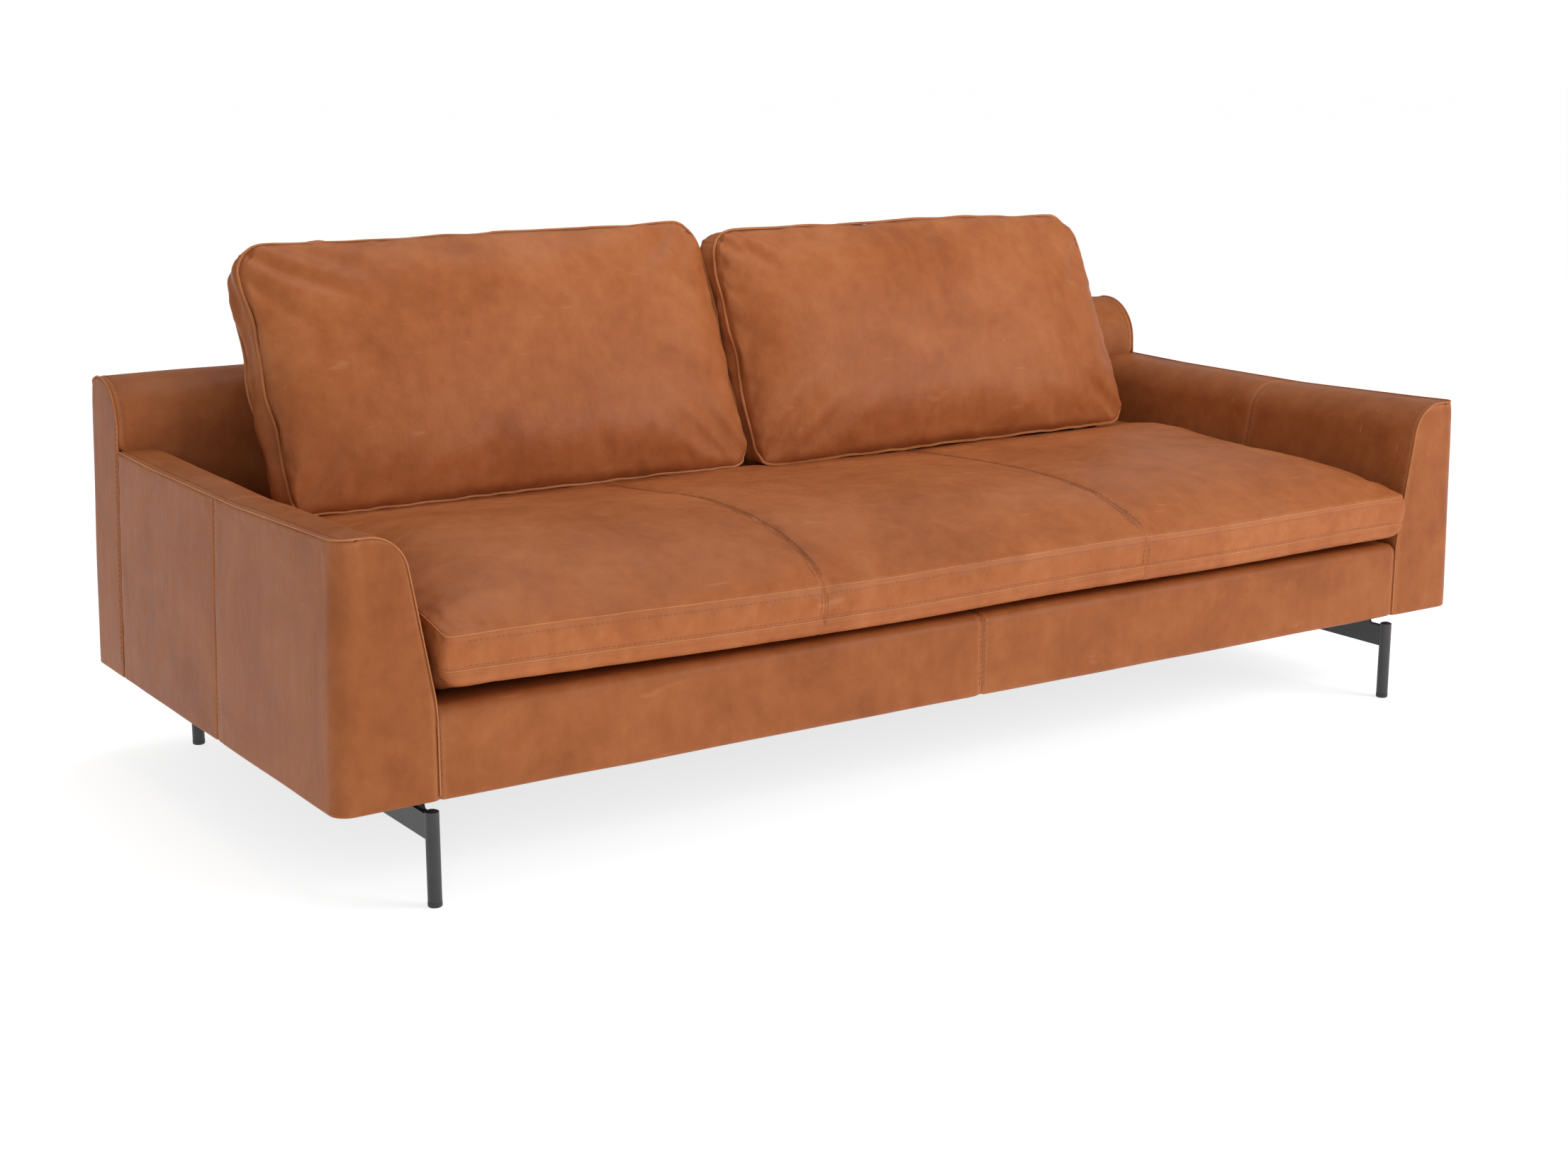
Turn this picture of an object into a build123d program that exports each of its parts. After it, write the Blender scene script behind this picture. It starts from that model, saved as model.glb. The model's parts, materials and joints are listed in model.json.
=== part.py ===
"""Three-seat leather sofa on two black steel leg rails, with loose seat and back cushions.

Units are millimetres. +X is the sitter's left, seen from the front the right-hand end, +Y points to the back
and +Z is up. The origin lies on the floor under the middle of the overall footprint, with the seat cushion's
overhang counted in.
"""

import os
from math import cos, hypot, radians, sin

from build123d import *

os.makedirs("parts", exist_ok=True)

# ---------------------------------------------------------------- upholstered body
SOFA_WIDTH = 2260.0
BODY_DEPTH = 1032.0
SEAT_OVERHANG = 23.0
FLOOR_CLEARANCE = 161.0
ARM_TOP = 548.0
BACK_TOP = 660.0
SIDE_LEAN = 19.0
CORNER_RADIUS = 28.0
COVER_THICKNESS = 4.0
CLOTH_THICKNESS = 2.0
ARM_BASE_WIDTH = 157.0
ARM_INNER_LEAN = 45.0
ARM_KNEE_HEIGHT = 139.0
ARM_KNEE_RADIUS = 240.0
ARM_TOP_RADIUS = 60.0
BACK_DEPTH = 143.0
BACK_FRONT_RADIUS = 82.0
BACK_REAR_RADIUS = 54.0
DECK_HEIGHT = 137.0
RAIL_NOSE_RADIUS = 18.0
COVER_TUCK = 20.0

# ---------------------------------------------------------------- wooden frame
BOARD = 25.0
RAIL_HEIGHT = 100.0
STRETCHER_HEIGHT = 60.0
STRETCHER_PITCH = 900.0
POST_DEPTH = 40.0
BACK_POST_WIDTH = 45.0
BACK_POST_DEPTH = 35.0
MIDDLE_POST_PITCH = 460.0
ARM_FRAME_WIDTH = 56.0
ARM_FRAME_TOP_GAP = 48.0
BACK_FRAME_TOP_GAP = 60.0
SIDE_BOARD = 3.0
SIDE_FOAM = 12.0
FRONT_FOAM = 10.0
REAR_FOAM = 23.5
CORNER_BLOCK = 60.0
LEG_BOARD_WIDTH = 141.0
LEG_BOARD_LENGTH = 120.0

# ---------------------------------------------------------------- suspension
SPRING_WIRE = 3.8
SPRING_COUNT = 8
SPRING_PITCH = 230.0
SPRING_LOOP = 60.0
SPRING_SWING = 50.0
SPRING_LIFT = 9.0
CLIP_WIDTH = 18.0
CLIP_DEPTH = 14.0
CLIP_HEIGHT = 12.0
WEB_WIDTH = 50.0
WEB_THICKNESS = 1.6
WEB_COUNT = 3

# ---------------------------------------------------------------- steel legs
TUBE_DIAMETER = 21.0
TUBE_WALL = 2.0
LEG_END_INSET = 151.0
LEG_FRONT_INSET = 18.0
LEG_REAR_INSET = 62.0
LEG_TOP_GAP = 15.0
BAR_HEIGHT = 38.0
BAR_THICKNESS = 12.0
BAR_DROP = 9.0
BRACKET_WEB = 6.0
BRACKET_FLANGE = 60.0
BRACKET_LENGTH = 120.0
BRACKET_PLATE = 4.0
BRACKET_SETBACK = 23.0
GLIDE_HEIGHT = 8.0
GLIDE_LIP = 0.3
CAP_DOME = 3.0
PLUG_DEPTH = 12.0
PLUG_CLEARANCE = 0.3
BOLT_DIAMETER = 7.8
BOLT_HEAD_DIAMETER = 14.0
BOLT_HEAD_HEIGHT = 4.0
BOLT_SPACING = 60.0
BOLT_OFFSET = 16.0
BOLT_CLEARANCE = 0.4
NUT_BORE = 8.0
NUT_BARREL_DIAMETER = 10.0
NUT_BARREL_LENGTH = 10.0
NUT_FLANGE_DIAMETER = 22.0
NUT_FLANGE = 1.6

# ---------------------------------------------------------------- cushions
LEATHER = 3.0
CORE_CLEARANCE = 0.5
SEAT_END_GAP = 8.0
SEAT_REAR_GAP = 8.0
SEAT_REST_GAP = 0.4
SEAT_BORDER_LOW = 42.0
SEAT_BORDER_HEIGHT = 49.0
SEAT_THICKNESS = 168.0
SEAT_CROWN_REACH = 300.0
SEAT_DIP = 40.0
SEAT_DIP_START = 266.0
SEAT_DIP_RUN = 70.0
BACK_CUSHION_WIDTH = 884.0
BACK_CUSHION_HEIGHT = 441.0
BACK_CUSHION_GUSSET = 65.0
BACK_CUSHION_FRONT_CROWN = 50.0
BACK_CUSHION_REAR_CROWN = 66.0
BACK_CUSHION_SLOPE = 85.0
BACK_CUSHION_CORNER = 45.0
BACK_CUSHION_GAP = 14.0
BACK_CUSHION_SHIFT = 8.0
CUSHION_REST_GAP = 0.5
LEFT_TILT = 25.0
RIGHT_TILT = 22.0
LEFT_STANCE = 215.5
RIGHT_STANCE = 234.5
ZIP_WIDTH = 24.0
ZIP_THICKNESS = 1.5
ZIP_END_MARGIN = 90.0
SLIDER_LENGTH = 12.0
SLIDER_WIDTH = 8.0
SLIDER_HEIGHT = 3.0
SLIDER_GAP = 0.4

# ---------------------------------------------------------------- places worked out from the sizes above
HALF_WIDTH = SOFA_WIDTH / 2
REAR_Y = (BODY_DEPTH + SEAT_OVERHANG) / 2
FRONT_Y = REAR_Y - BODY_DEPTH
SEAT_FRONT_Y = FRONT_Y - SEAT_OVERHANG
BACK_FRONT_Y = REAR_Y - BACK_DEPTH
ARM_INNER_X = HALF_WIDTH - ARM_BASE_WIDTH
DECK_TOP = FLOOR_CLEARANCE + DECK_HEIGHT
TUCK_Z = DECK_TOP - COVER_TUCK
FRAME_BOTTOM = FLOOR_CLEARANCE + CLOTH_THICKNESS
RAIL_TOP = FRAME_BOTTOM + RAIL_HEIGHT
FRAME_FRONT_Y = FRONT_Y + COVER_THICKNESS + FRONT_FOAM
FRONT_POST_Y = FRAME_FRONT_Y + BOARD
FRAME_REAR_Y = REAR_Y - COVER_THICKNESS - REAR_FOAM
REAR_RAIL_Y = FRAME_REAR_Y - BOARD
BACK_POST_Y = REAR_RAIL_Y - BACK_POST_DEPTH
ARM_FRAME_TOP = ARM_TOP - ARM_FRAME_TOP_GAP
BACK_FRAME_TOP = BACK_TOP - BACK_FRAME_TOP_GAP
LEG_X = HALF_WIDTH - LEG_END_INSET
LEG_FRONT_Y = FRONT_Y + LEG_FRONT_INSET
LEG_REAR_Y = REAR_Y - LEG_REAR_INSET
LEG_TOP = FLOOR_CLEARANCE - LEG_TOP_GAP
TUBE_TOP = LEG_TOP - CAP_DOME
TUBE_RADIUS = TUBE_DIAMETER / 2
TUBE_BORE = TUBE_RADIUS - TUBE_WALL
BAR_TOP = LEG_TOP - BAR_DROP
BOLT_X = LEG_X + BOLT_OFFSET
SEAT_BOTTOM = DECK_TOP + SEAT_REST_GAP
SEAT_TOP = SEAT_BOTTOM + SEAT_THICKNESS
SEAT_REAR_Y = BACK_FRONT_Y - SEAT_REAR_GAP
SEAT_HALF = ARM_INNER_X - SEAT_END_GAP
SEAT_DIP_Y = SEAT_REAR_Y - SEAT_DIP_START
STAND_Z = SEAT_TOP - SEAT_DIP
LEFT_FRONT_EDGE = BACK_FRONT_Y - LEFT_STANCE
RIGHT_FRONT_EDGE = BACK_FRONT_Y - RIGHT_STANCE
FAR = 3 * SOFA_WIDTH


def half_width_at(height):
    """Half the body's width at a height: both ends lean in towards the top."""
    return HALF_WIDTH - SIDE_LEAN * (height - FLOOR_CLEARANCE) / (BACK_TOP - FLOOR_CLEARANCE)


ARM_FRAME_OUTER = half_width_at(ARM_TOP) - COVER_THICKNESS - SIDE_FOAM
POST_OUTER = ARM_FRAME_OUTER - SIDE_BOARD
POST_INNER = POST_OUTER - ARM_FRAME_WIDTH
SIDE_RAIL_INNER = POST_OUTER - BOARD
BACK_POST_X = SIDE_RAIL_INNER - BACK_POST_WIDTH / 2
REAR_POST_Y = BACK_FRONT_Y - COVER_THICKNESS - POST_DEPTH


# ---------------------------------------------------------------- helpers
def block(x_range, y_range, z_range):
    """A box solid from its lowest and highest coordinate on each axis."""
    with BuildPart() as solid:
        with BuildSketch(Plane.XY.offset(z_range[0])):
            with Locations(((x_range[0] + x_range[1]) / 2, (y_range[0] + y_range[1]) / 2)):
                Rectangle(x_range[1] - x_range[0], y_range[1] - y_range[0])
        extrude(amount=z_range[1] - z_range[0])
    return solid.part


def save(part, name):
    """Labels one finished piece and writes its STEP file."""
    part.label = name
    export_step(part, f"parts/{name}.step")


def save_pair(part, stem):
    """Writes the right-hand piece and its mirror image on the left."""
    save(part, f"{stem}_right")
    save(mirror(part, about=Plane.YZ), f"{stem}_left")


def body_envelope(inset):
    """Everything within the body's four sides, moved in by inset; its ends lean, its corners are round."""
    low = FLOOR_CLEARANCE - CORNER_RADIUS
    high = BACK_TOP + CORNER_RADIUS
    low_half = half_width_at(low) - inset
    high_half = half_width_at(high) - inset
    with BuildPart() as envelope:
        with BuildSketch(Plane.XY.offset(low)):
            with Locations((0, (FRONT_Y + REAR_Y) / 2)):
                RectangleRounded(2 * low_half, BODY_DEPTH - 2 * inset, CORNER_RADIUS - inset)
        extrude(amount=high - low)
        with BuildSketch(Plane.XZ):
            with BuildLine():
                Polyline(
                    (-low_half, low),
                    (low_half, low),
                    (high_half, high),
                    (-high_half, high),
                    close=True,
                )
            make_face()
        extrude(amount=FAR, both=True, mode=Mode.INTERSECT)
    return envelope.part


def arm_section(inset, bottom):
    """The right arm's section above bottom, its top and inner face moved in by inset."""
    rise = ARM_TOP - FLOOR_CLEARANCE - ARM_KNEE_HEIGHT
    slope = ARM_INNER_LEAN / rise
    side_step = inset * hypot(1, slope)
    knee_z = FLOOR_CLEARANCE + ARM_KNEE_HEIGHT + (inset - side_step) / slope
    top_z = ARM_TOP - inset
    corner_x = ARM_INNER_X + slope * (rise - inset) + side_step
    with BuildSketch(Plane.XZ.offset(-BACK_FRONT_Y)) as section:
        with BuildLine():
            inner = FilletPolyline(
                (ARM_INNER_X + inset, bottom),
                (ARM_INNER_X + inset, knee_z),
                (corner_x, top_z),
                (HALF_WIDTH + CORNER_RADIUS, top_z),
                radius=(ARM_KNEE_RADIUS - inset, ARM_TOP_RADIUS - inset),
            )
            Polyline(inner @ 1, (HALF_WIDTH + CORNER_RADIUS, bottom), inner @ 0)
        make_face()
    return section.sketch


def back_section(inset, bottom):
    """The back's section above bottom, all round faces moved in by inset, open to beyond the rear face."""
    front = BACK_FRONT_Y + inset
    top = BACK_TOP - inset
    rear = REAR_Y - inset
    with BuildSketch(Plane.YZ) as section:
        with BuildLine():
            outline = FilletPolyline(
                (front, bottom),
                (front, top),
                (rear, top),
                (rear, bottom),
                radius=(BACK_FRONT_RADIUS - inset, BACK_REAR_RADIUS - inset),
            )
            Line(outline @ 1, outline @ 0)
        make_face()
    return section.sketch


OUTSIDE = body_envelope(0)
INSIDE = body_envelope(COVER_THICKNESS)
ARM_LENGTH = BACK_FRONT_Y - FRONT_Y + CORNER_RADIUS


# ---------------------------------------------------------------- wooden frame
def make_rails():
    """Front and rear rails across the whole width, side rails between them, and two stretchers."""
    front_rail = block((-POST_OUTER, POST_OUTER), (FRAME_FRONT_Y, FRONT_POST_Y), (FRAME_BOTTOM, RAIL_TOP))
    save(front_rail, "front_rail")
    rear_rail = block((-POST_OUTER, POST_OUTER), (REAR_RAIL_Y, FRAME_REAR_Y), (FRAME_BOTTOM, RAIL_TOP))
    save(rear_rail, "rear_rail")
    side_rail = block(
        (SIDE_RAIL_INNER, POST_OUTER), (FRONT_POST_Y + POST_DEPTH, REAR_RAIL_Y), (FRAME_BOTTOM, RAIL_TOP)
    )
    save_pair(side_rail, "side_rail")
    stretcher = block(
        ((STRETCHER_PITCH - BOARD) / 2, (STRETCHER_PITCH + BOARD) / 2),
        (FRONT_POST_Y, REAR_RAIL_Y),
        (FRAME_BOTTOM, FRAME_BOTTOM + STRETCHER_HEIGHT),
    )
    save_pair(stretcher, "stretcher")


def make_arm_frames():
    """Each arm's front and rear post, its top rail and the thin board on its outer side."""
    top_rail_z = ARM_FRAME_TOP - BOARD
    width = (POST_INNER, POST_OUTER)
    front_post = block(width, (FRONT_POST_Y, FRONT_POST_Y + POST_DEPTH), (FRAME_BOTTOM, top_rail_z))
    save_pair(front_post, "arm_front_post")
    rear_post = block(width, (REAR_POST_Y, REAR_POST_Y + POST_DEPTH), (RAIL_TOP, top_rail_z))
    save_pair(rear_post, "arm_rear_post")
    top_rail = block(width, (FRONT_POST_Y, REAR_POST_Y + POST_DEPTH), (top_rail_z, ARM_FRAME_TOP))
    save_pair(top_rail, "arm_top_rail")
    side_board = block(
        (POST_OUTER, ARM_FRAME_OUTER), (FRONT_POST_Y, REAR_POST_Y + POST_DEPTH), (RAIL_TOP, ARM_FRAME_TOP)
    )
    save_pair(side_board, "arm_side_board")


def make_back_frame():
    """Two end posts and two middle posts in front of the rear rail, and the rail along their tops."""
    top_rail_z = BACK_FRAME_TOP - BOARD
    places = {
        "back_post_left": -BACK_POST_X,
        "back_post_middle_left": -MIDDLE_POST_PITCH / 2,
        "back_post_middle_right": MIDDLE_POST_PITCH / 2,
        "back_post_right": BACK_POST_X,
    }
    for name, x in places.items():
        post = block(
            (x - BACK_POST_WIDTH / 2, x + BACK_POST_WIDTH / 2),
            (BACK_POST_Y, REAR_RAIL_Y),
            (FRAME_BOTTOM, top_rail_z),
        )
        save(post, name)
    top_rail = block(
        (-SIDE_RAIL_INNER, SIDE_RAIL_INNER), (BACK_POST_Y, FRAME_REAR_Y), (top_rail_z, BACK_FRAME_TOP)
    )
    save(top_rail, "back_top_rail")


def make_corner_blocks():
    """Four triangular blocks glued into the base's inner corners, level with the rails' tops."""
    corners = (
        (POST_INNER, FRONT_POST_Y, 1, -1),
        (-POST_INNER, FRONT_POST_Y, -1, -1),
        (SIDE_RAIL_INNER - BACK_POST_WIDTH, REAR_RAIL_Y, 1, 1),
        (BACK_POST_WIDTH - SIDE_RAIL_INNER, REAR_RAIL_Y, -1, 1),
    )
    with BuildPart() as corner_blocks:
        for x, y, x_way, y_way in corners:
            with BuildSketch(Plane.XY.offset(RAIL_TOP - CORNER_BLOCK)):
                with BuildLine():
                    Polyline(
                        (x, y),
                        (x - x_way * CORNER_BLOCK, y),
                        (x, y - y_way * CORNER_BLOCK),
                        close=True,
                    )
                make_face()
            extrude(amount=CORNER_BLOCK)
    save(corner_blocks.part, "corner_blocks")


# ---------------------------------------------------------------- suspension
def make_springs():
    """Flat wavy wire springs from front to rear rail, held in a steel clip at each end."""
    radius = SPRING_WIRE / 2
    wire_z = RAIL_TOP + SPRING_LIFT
    start_y = FRAME_FRONT_Y + BOARD / 2
    end_y = REAR_RAIL_Y + BOARD / 2
    turns = int((end_y - start_y) // SPRING_LOOP) // 2 * 2 + 1
    loop = (end_y - start_y) / turns
    points = [(SPRING_SWING / 2, start_y, wire_z)]
    for turn in range(turns):
        side = SPRING_SWING / 2 if turn % 2 else -SPRING_SWING / 2
        points.append((side, start_y + turn * loop, wire_z))
        points.append((side, start_y + (turn + 1) * loop, wire_z))
    points.append((-points[-1][0], end_y, wire_z))
    with BuildPart() as spring:
        with BuildLine() as wire:
            FilletPolyline(*points, radius=SPRING_SWING * 0.3)
        with BuildSketch(Plane(origin=wire.line @ 0, z_dir=wire.line % 0)):
            Circle(radius)
        sweep(path=wire.line)
    with BuildPart() as clip:
        with BuildSketch(Plane.XY.offset(RAIL_TOP)):
            Rectangle(CLIP_WIDTH, CLIP_DEPTH)
        extrude(amount=CLIP_HEIGHT)
        with BuildSketch(Plane.XY.offset(wire_z - radius - PLUG_CLEARANCE)):
            Rectangle(CLIP_WIDTH, SPRING_WIRE + 2 * PLUG_CLEARANCE)
        extrude(amount=CLIP_HEIGHT, mode=Mode.SUBTRACT)
    columns = [(index - (SPRING_COUNT - 1) / 2) * SPRING_PITCH for index in range(SPRING_COUNT)]
    with BuildPart() as seat_springs:
        with Locations(*[(x, 0, 0) for x in columns]):
            add(spring.part)
    save(seat_springs.part, "seat_springs")
    with BuildPart() as spring_clips:
        with Locations(*[(x, y, 0) for x in columns for y in (start_y, end_y)]):
            add(clip.part)
    save(spring_clips.part, "spring_clips")


def make_webbing():
    """Elastic bands across the back posts, behind the back foam."""
    low = RAIL_TOP + WEB_WIDTH
    high = BACK_FRAME_TOP - 2 * WEB_WIDTH
    with BuildPart() as back_webbing:
        for index in range(WEB_COUNT):
            height = low + (high - low) * index / (WEB_COUNT - 1)
            with BuildSketch(Plane.XZ.offset(-BACK_POST_Y)):
                with Locations((0, height)):
                    Rectangle(2 * SIDE_RAIL_INNER, WEB_WIDTH)
            extrude(amount=WEB_THICKNESS)
    save(back_webbing.part, "back_webbing")


# ---------------------------------------------------------------- foam under the covers
def make_arm_foams():
    """The arm's padding round its wooden frame, open below for the rails."""
    frame_room = block(
        (POST_INNER, ARM_FRAME_OUTER), (FRONT_POST_Y, BACK_FRONT_Y + FAR), (-FAR, ARM_FRAME_TOP)
    )
    rail_room = block((-FAR, ARM_FRAME_OUTER), (FRAME_FRONT_Y, FAR), (-FAR, TUCK_Z))
    with BuildPart() as arm_foam:
        extrude(arm_section(COVER_THICKNESS, FLOOR_CLEARANCE), amount=ARM_LENGTH)
        add(INSIDE, mode=Mode.INTERSECT)
        add(frame_room, mode=Mode.SUBTRACT)
        add(rail_room, mode=Mode.SUBTRACT)
    save_pair(arm_foam.part, "arm_foam")


def make_back_foam():
    """The back's padding over the front and top of its wooden frame."""
    frame_room = block(
        (-POST_OUTER, POST_OUTER), (BACK_POST_Y - WEB_THICKNESS, FRAME_REAR_Y), (-FAR, BACK_FRAME_TOP)
    )
    with BuildPart() as back_foam:
        extrude(back_section(COVER_THICKNESS, TUCK_Z), amount=HALF_WIDTH, both=True)
        add(INSIDE, mode=Mode.INTERSECT)
        add(frame_room, mode=Mode.SUBTRACT)
    save(back_foam.part, "back_foam")


def make_rail_foam():
    """The thin pad over the front rail."""
    front = FRONT_Y + COVER_THICKNESS
    top = DECK_TOP - COVER_THICKNESS
    with BuildPart() as front_rail_foam:
        with BuildSketch(Plane.YZ):
            with BuildLine():
                nose = FilletPolyline(
                    (front, FLOOR_CLEARANCE),
                    (front, top),
                    (FRONT_POST_Y, top),
                    radius=RAIL_NOSE_RADIUS - COVER_THICKNESS,
                )
                Polyline(
                    nose @ 1,
                    (FRONT_POST_Y, RAIL_TOP + CLIP_HEIGHT + CLOTH_THICKNESS),
                    (FRAME_FRONT_Y, RAIL_TOP + CLIP_HEIGHT + CLOTH_THICKNESS),
                    (FRAME_FRONT_Y, FLOOR_CLEARANCE),
                    nose @ 0,
                )
            make_face()
        extrude(amount=ARM_INNER_X, both=True)
    save(front_rail_foam.part, "front_rail_foam")


# ---------------------------------------------------------------- leather covers
def make_arm_covers():
    """One cover over each arm's top and inner face, one round its outer side and front."""
    with BuildPart() as arm_cover:
        extrude(arm_section(0, TUCK_Z), amount=ARM_LENGTH)
        extrude(arm_section(COVER_THICKNESS, TUCK_Z), amount=ARM_LENGTH, mode=Mode.SUBTRACT)
        add(INSIDE, mode=Mode.INTERSECT)
    save_pair(arm_cover.part, "arm_cover")
    with BuildPart() as arm_outer_cover:
        extrude(arm_section(0, FLOOR_CLEARANCE), amount=ARM_LENGTH)
        add(OUTSIDE, mode=Mode.INTERSECT)
        add(INSIDE, mode=Mode.SUBTRACT)
    save_pair(arm_outer_cover.part, "arm_outer_cover")


def make_back_covers():
    """One cover over the back's front and crown, one round its rear and both ends."""
    with BuildPart() as back_cover:
        extrude(back_section(0, TUCK_Z), amount=HALF_WIDTH, both=True)
        extrude(back_section(COVER_THICKNESS, TUCK_Z), amount=HALF_WIDTH, both=True, mode=Mode.SUBTRACT)
        add(INSIDE, mode=Mode.INTERSECT)
    save(back_cover.part, "back_cover")
    with BuildPart() as back_rear_cover:
        extrude(back_section(0, FLOOR_CLEARANCE), amount=HALF_WIDTH, both=True)
        add(OUTSIDE, mode=Mode.INTERSECT)
        add(INSIDE, mode=Mode.SUBTRACT)
    save(back_rear_cover.part, "back_rear_cover")


def make_rail_cover():
    """The leather along the front rail, turned back over its rounded top edge."""
    with BuildPart() as front_rail_cover:
        with BuildSketch(Plane.YZ):
            with BuildLine():
                skin = FilletPolyline(
                    (FRONT_Y, FLOOR_CLEARANCE),
                    (FRONT_Y, DECK_TOP),
                    (FRONT_POST_Y, DECK_TOP),
                    radius=RAIL_NOSE_RADIUS,
                )
                lining = FilletPolyline(
                    (FRONT_Y + COVER_THICKNESS, FLOOR_CLEARANCE),
                    (FRONT_Y + COVER_THICKNESS, DECK_TOP - COVER_THICKNESS),
                    (FRONT_POST_Y, DECK_TOP - COVER_THICKNESS),
                    radius=RAIL_NOSE_RADIUS - COVER_THICKNESS,
                )
                Line(skin @ 0, lining @ 0)
                Line(skin @ 1, lining @ 1)
            make_face()
        extrude(amount=ARM_INNER_X, both=True)
    save(front_rail_cover.part, "front_rail_cover")


def make_cloths():
    """The deck cloth under the seat cushion and the dust cover under the frame."""
    deck_cloth = block(
        (-ARM_INNER_X, ARM_INNER_X), (FRONT_POST_Y, BACK_FRONT_Y), (DECK_TOP - CLOTH_THICKNESS, DECK_TOP)
    )
    save(deck_cloth, "deck_cloth")
    inner_front = FRONT_Y + COVER_THICKNESS + FRONT_FOAM
    with BuildPart() as dust_cover:
        with BuildSketch(Plane.XY.offset(FLOOR_CLEARANCE)):
            with Locations((0, (inner_front + FRAME_REAR_Y) / 2)):
                Rectangle(2 * POST_OUTER, FRAME_REAR_Y - inner_front)
            with Locations(*[(x, y) for x, y in bolt_places()]):
                Circle(BOLT_DIAMETER / 2 + BOLT_CLEARANCE, mode=Mode.SUBTRACT)
        extrude(amount=CLOTH_THICKNESS)
    save(dust_cover.part, "dust_cover")


# ---------------------------------------------------------------- legs
def bracket_starts():
    """The front end of each bracket along Y, with the way it faces: the rear ones mirror the front ones."""
    reach = TUBE_RADIUS + BRACKET_SETBACK
    return ((LEG_FRONT_Y + reach, 1), (LEG_REAR_Y - reach, -1))


def bolt_places():
    """Every leg bolt's X and Y."""
    places = []
    for side in (-1, 1):
        for start, way in bracket_starts():
            centre = start + way * BRACKET_LENGTH / 2
            for way in (-1, 1):
                places.append((side * BOLT_X, centre + way * BOLT_SPACING / 2))
    return places


def make_leg_tubes():
    """Four round tubes, open at both ends for the glide and the cap."""
    for end, y in (("front", LEG_FRONT_Y), ("rear", LEG_REAR_Y)):
        with BuildPart() as leg_tube:
            with BuildSketch(Plane.XY.offset(GLIDE_HEIGHT)):
                with Locations((LEG_X, y)):
                    Circle(TUBE_RADIUS)
                    Circle(TUBE_BORE, mode=Mode.SUBTRACT)
            extrude(amount=TUBE_TOP - GLIDE_HEIGHT)
        save_pair(leg_tube.part, f"leg_tube_{end}")


def make_leg_bars():
    """A flat bar on edge between the front and rear tube of each side, coped to their round walls."""
    bar = block(
        (LEG_X - BAR_THICKNESS / 2, LEG_X + BAR_THICKNESS / 2),
        (LEG_FRONT_Y, LEG_REAR_Y),
        (BAR_TOP - BAR_HEIGHT, BAR_TOP),
    )
    with BuildPart() as leg_bar:
        add(bar)
        with BuildSketch(Plane.XY.offset(BAR_TOP - 2 * BAR_HEIGHT)):
            with Locations((LEG_X, LEG_FRONT_Y), (LEG_X, LEG_REAR_Y)):
                Circle(TUBE_RADIUS)
        extrude(amount=3 * BAR_HEIGHT, mode=Mode.SUBTRACT)
    save_pair(leg_bar.part, "leg_bar")


def make_brackets():
    """Four welded brackets from the bars up to the body, each a web on the bar and a drilled flange."""
    flange_low = FLOOR_CLEARANCE - BRACKET_PLATE
    rise = flange_low - BAR_TOP
    web_x = LEG_X - BAR_THICKNESS / 2
    with BuildPart() as mounting_brackets:
        for side in (-1, 1):
            for start, way in bracket_starts():
                with BuildSketch(Plane.YZ.offset(side * web_x)):
                    with BuildLine():
                        Polyline(
                            (start, BAR_TOP),
                            (start + way * rise / 2, flange_low),
                            (start + way * BRACKET_LENGTH, flange_low),
                            (start + way * BRACKET_LENGTH, BAR_TOP),
                            close=True,
                        )
                    make_face()
                extrude(amount=side * BRACKET_WEB)
                with BuildSketch(Plane.XY.offset(flange_low)):
                    with Locations((side * LEG_X, start + way * BRACKET_LENGTH / 2)):
                        Rectangle(BRACKET_FLANGE, BRACKET_LENGTH - rise)
                        with Locations(
                            (side * BOLT_OFFSET, -BOLT_SPACING / 2), (side * BOLT_OFFSET, BOLT_SPACING / 2)
                        ):
                            Circle(BOLT_DIAMETER / 2 + BOLT_CLEARANCE, mode=Mode.SUBTRACT)
                extrude(amount=BRACKET_PLATE)
    save(mounting_brackets.part, "mounting_brackets")


def leg_places():
    """Every tube's X and Y."""
    return [(side * LEG_X, y) for side in (-1, 1) for y in (LEG_FRONT_Y, LEG_REAR_Y)]


def make_caps_and_glides():
    """A domed cap in the top of each tube and a plastic glide under it."""
    plug = TUBE_BORE - PLUG_CLEARANCE
    with BuildPart() as cap:
        with BuildSketch(Plane.XZ):
            with BuildLine():
                Polyline(
                    (0, LEG_TOP),
                    (0, TUBE_TOP - PLUG_DEPTH),
                    (plug, TUBE_TOP - PLUG_DEPTH),
                    (plug, TUBE_TOP),
                    (TUBE_RADIUS, TUBE_TOP),
                )
                dome_radius = (TUBE_RADIUS**2 + CAP_DOME**2) / (2 * CAP_DOME)
                RadiusArc((TUBE_RADIUS, TUBE_TOP), (0, LEG_TOP), -dome_radius)
            make_face()
        revolve(axis=Axis.Z)
    foot = TUBE_RADIUS + GLIDE_LIP
    with BuildPart() as glide:
        with BuildSketch():
            Circle(foot)
        extrude(amount=GLIDE_HEIGHT)
        fillet(glide.edges().group_by(Axis.Z)[0], radius=GLIDE_HEIGHT / 3)
        with BuildSketch(Plane.XY.offset(GLIDE_HEIGHT)):
            Circle(plug)
        extrude(amount=PLUG_DEPTH)
    with BuildPart() as leg_caps:
        with Locations(*[(x, y, 0) for x, y in leg_places()]):
            add(cap.part)
    save(leg_caps.part, "leg_caps")
    with BuildPart() as foot_glides:
        with Locations(*[(x, y, 0) for x, y in leg_places()]):
            add(glide.part)
    save(foot_glides.part, "foot_glides")


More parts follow.
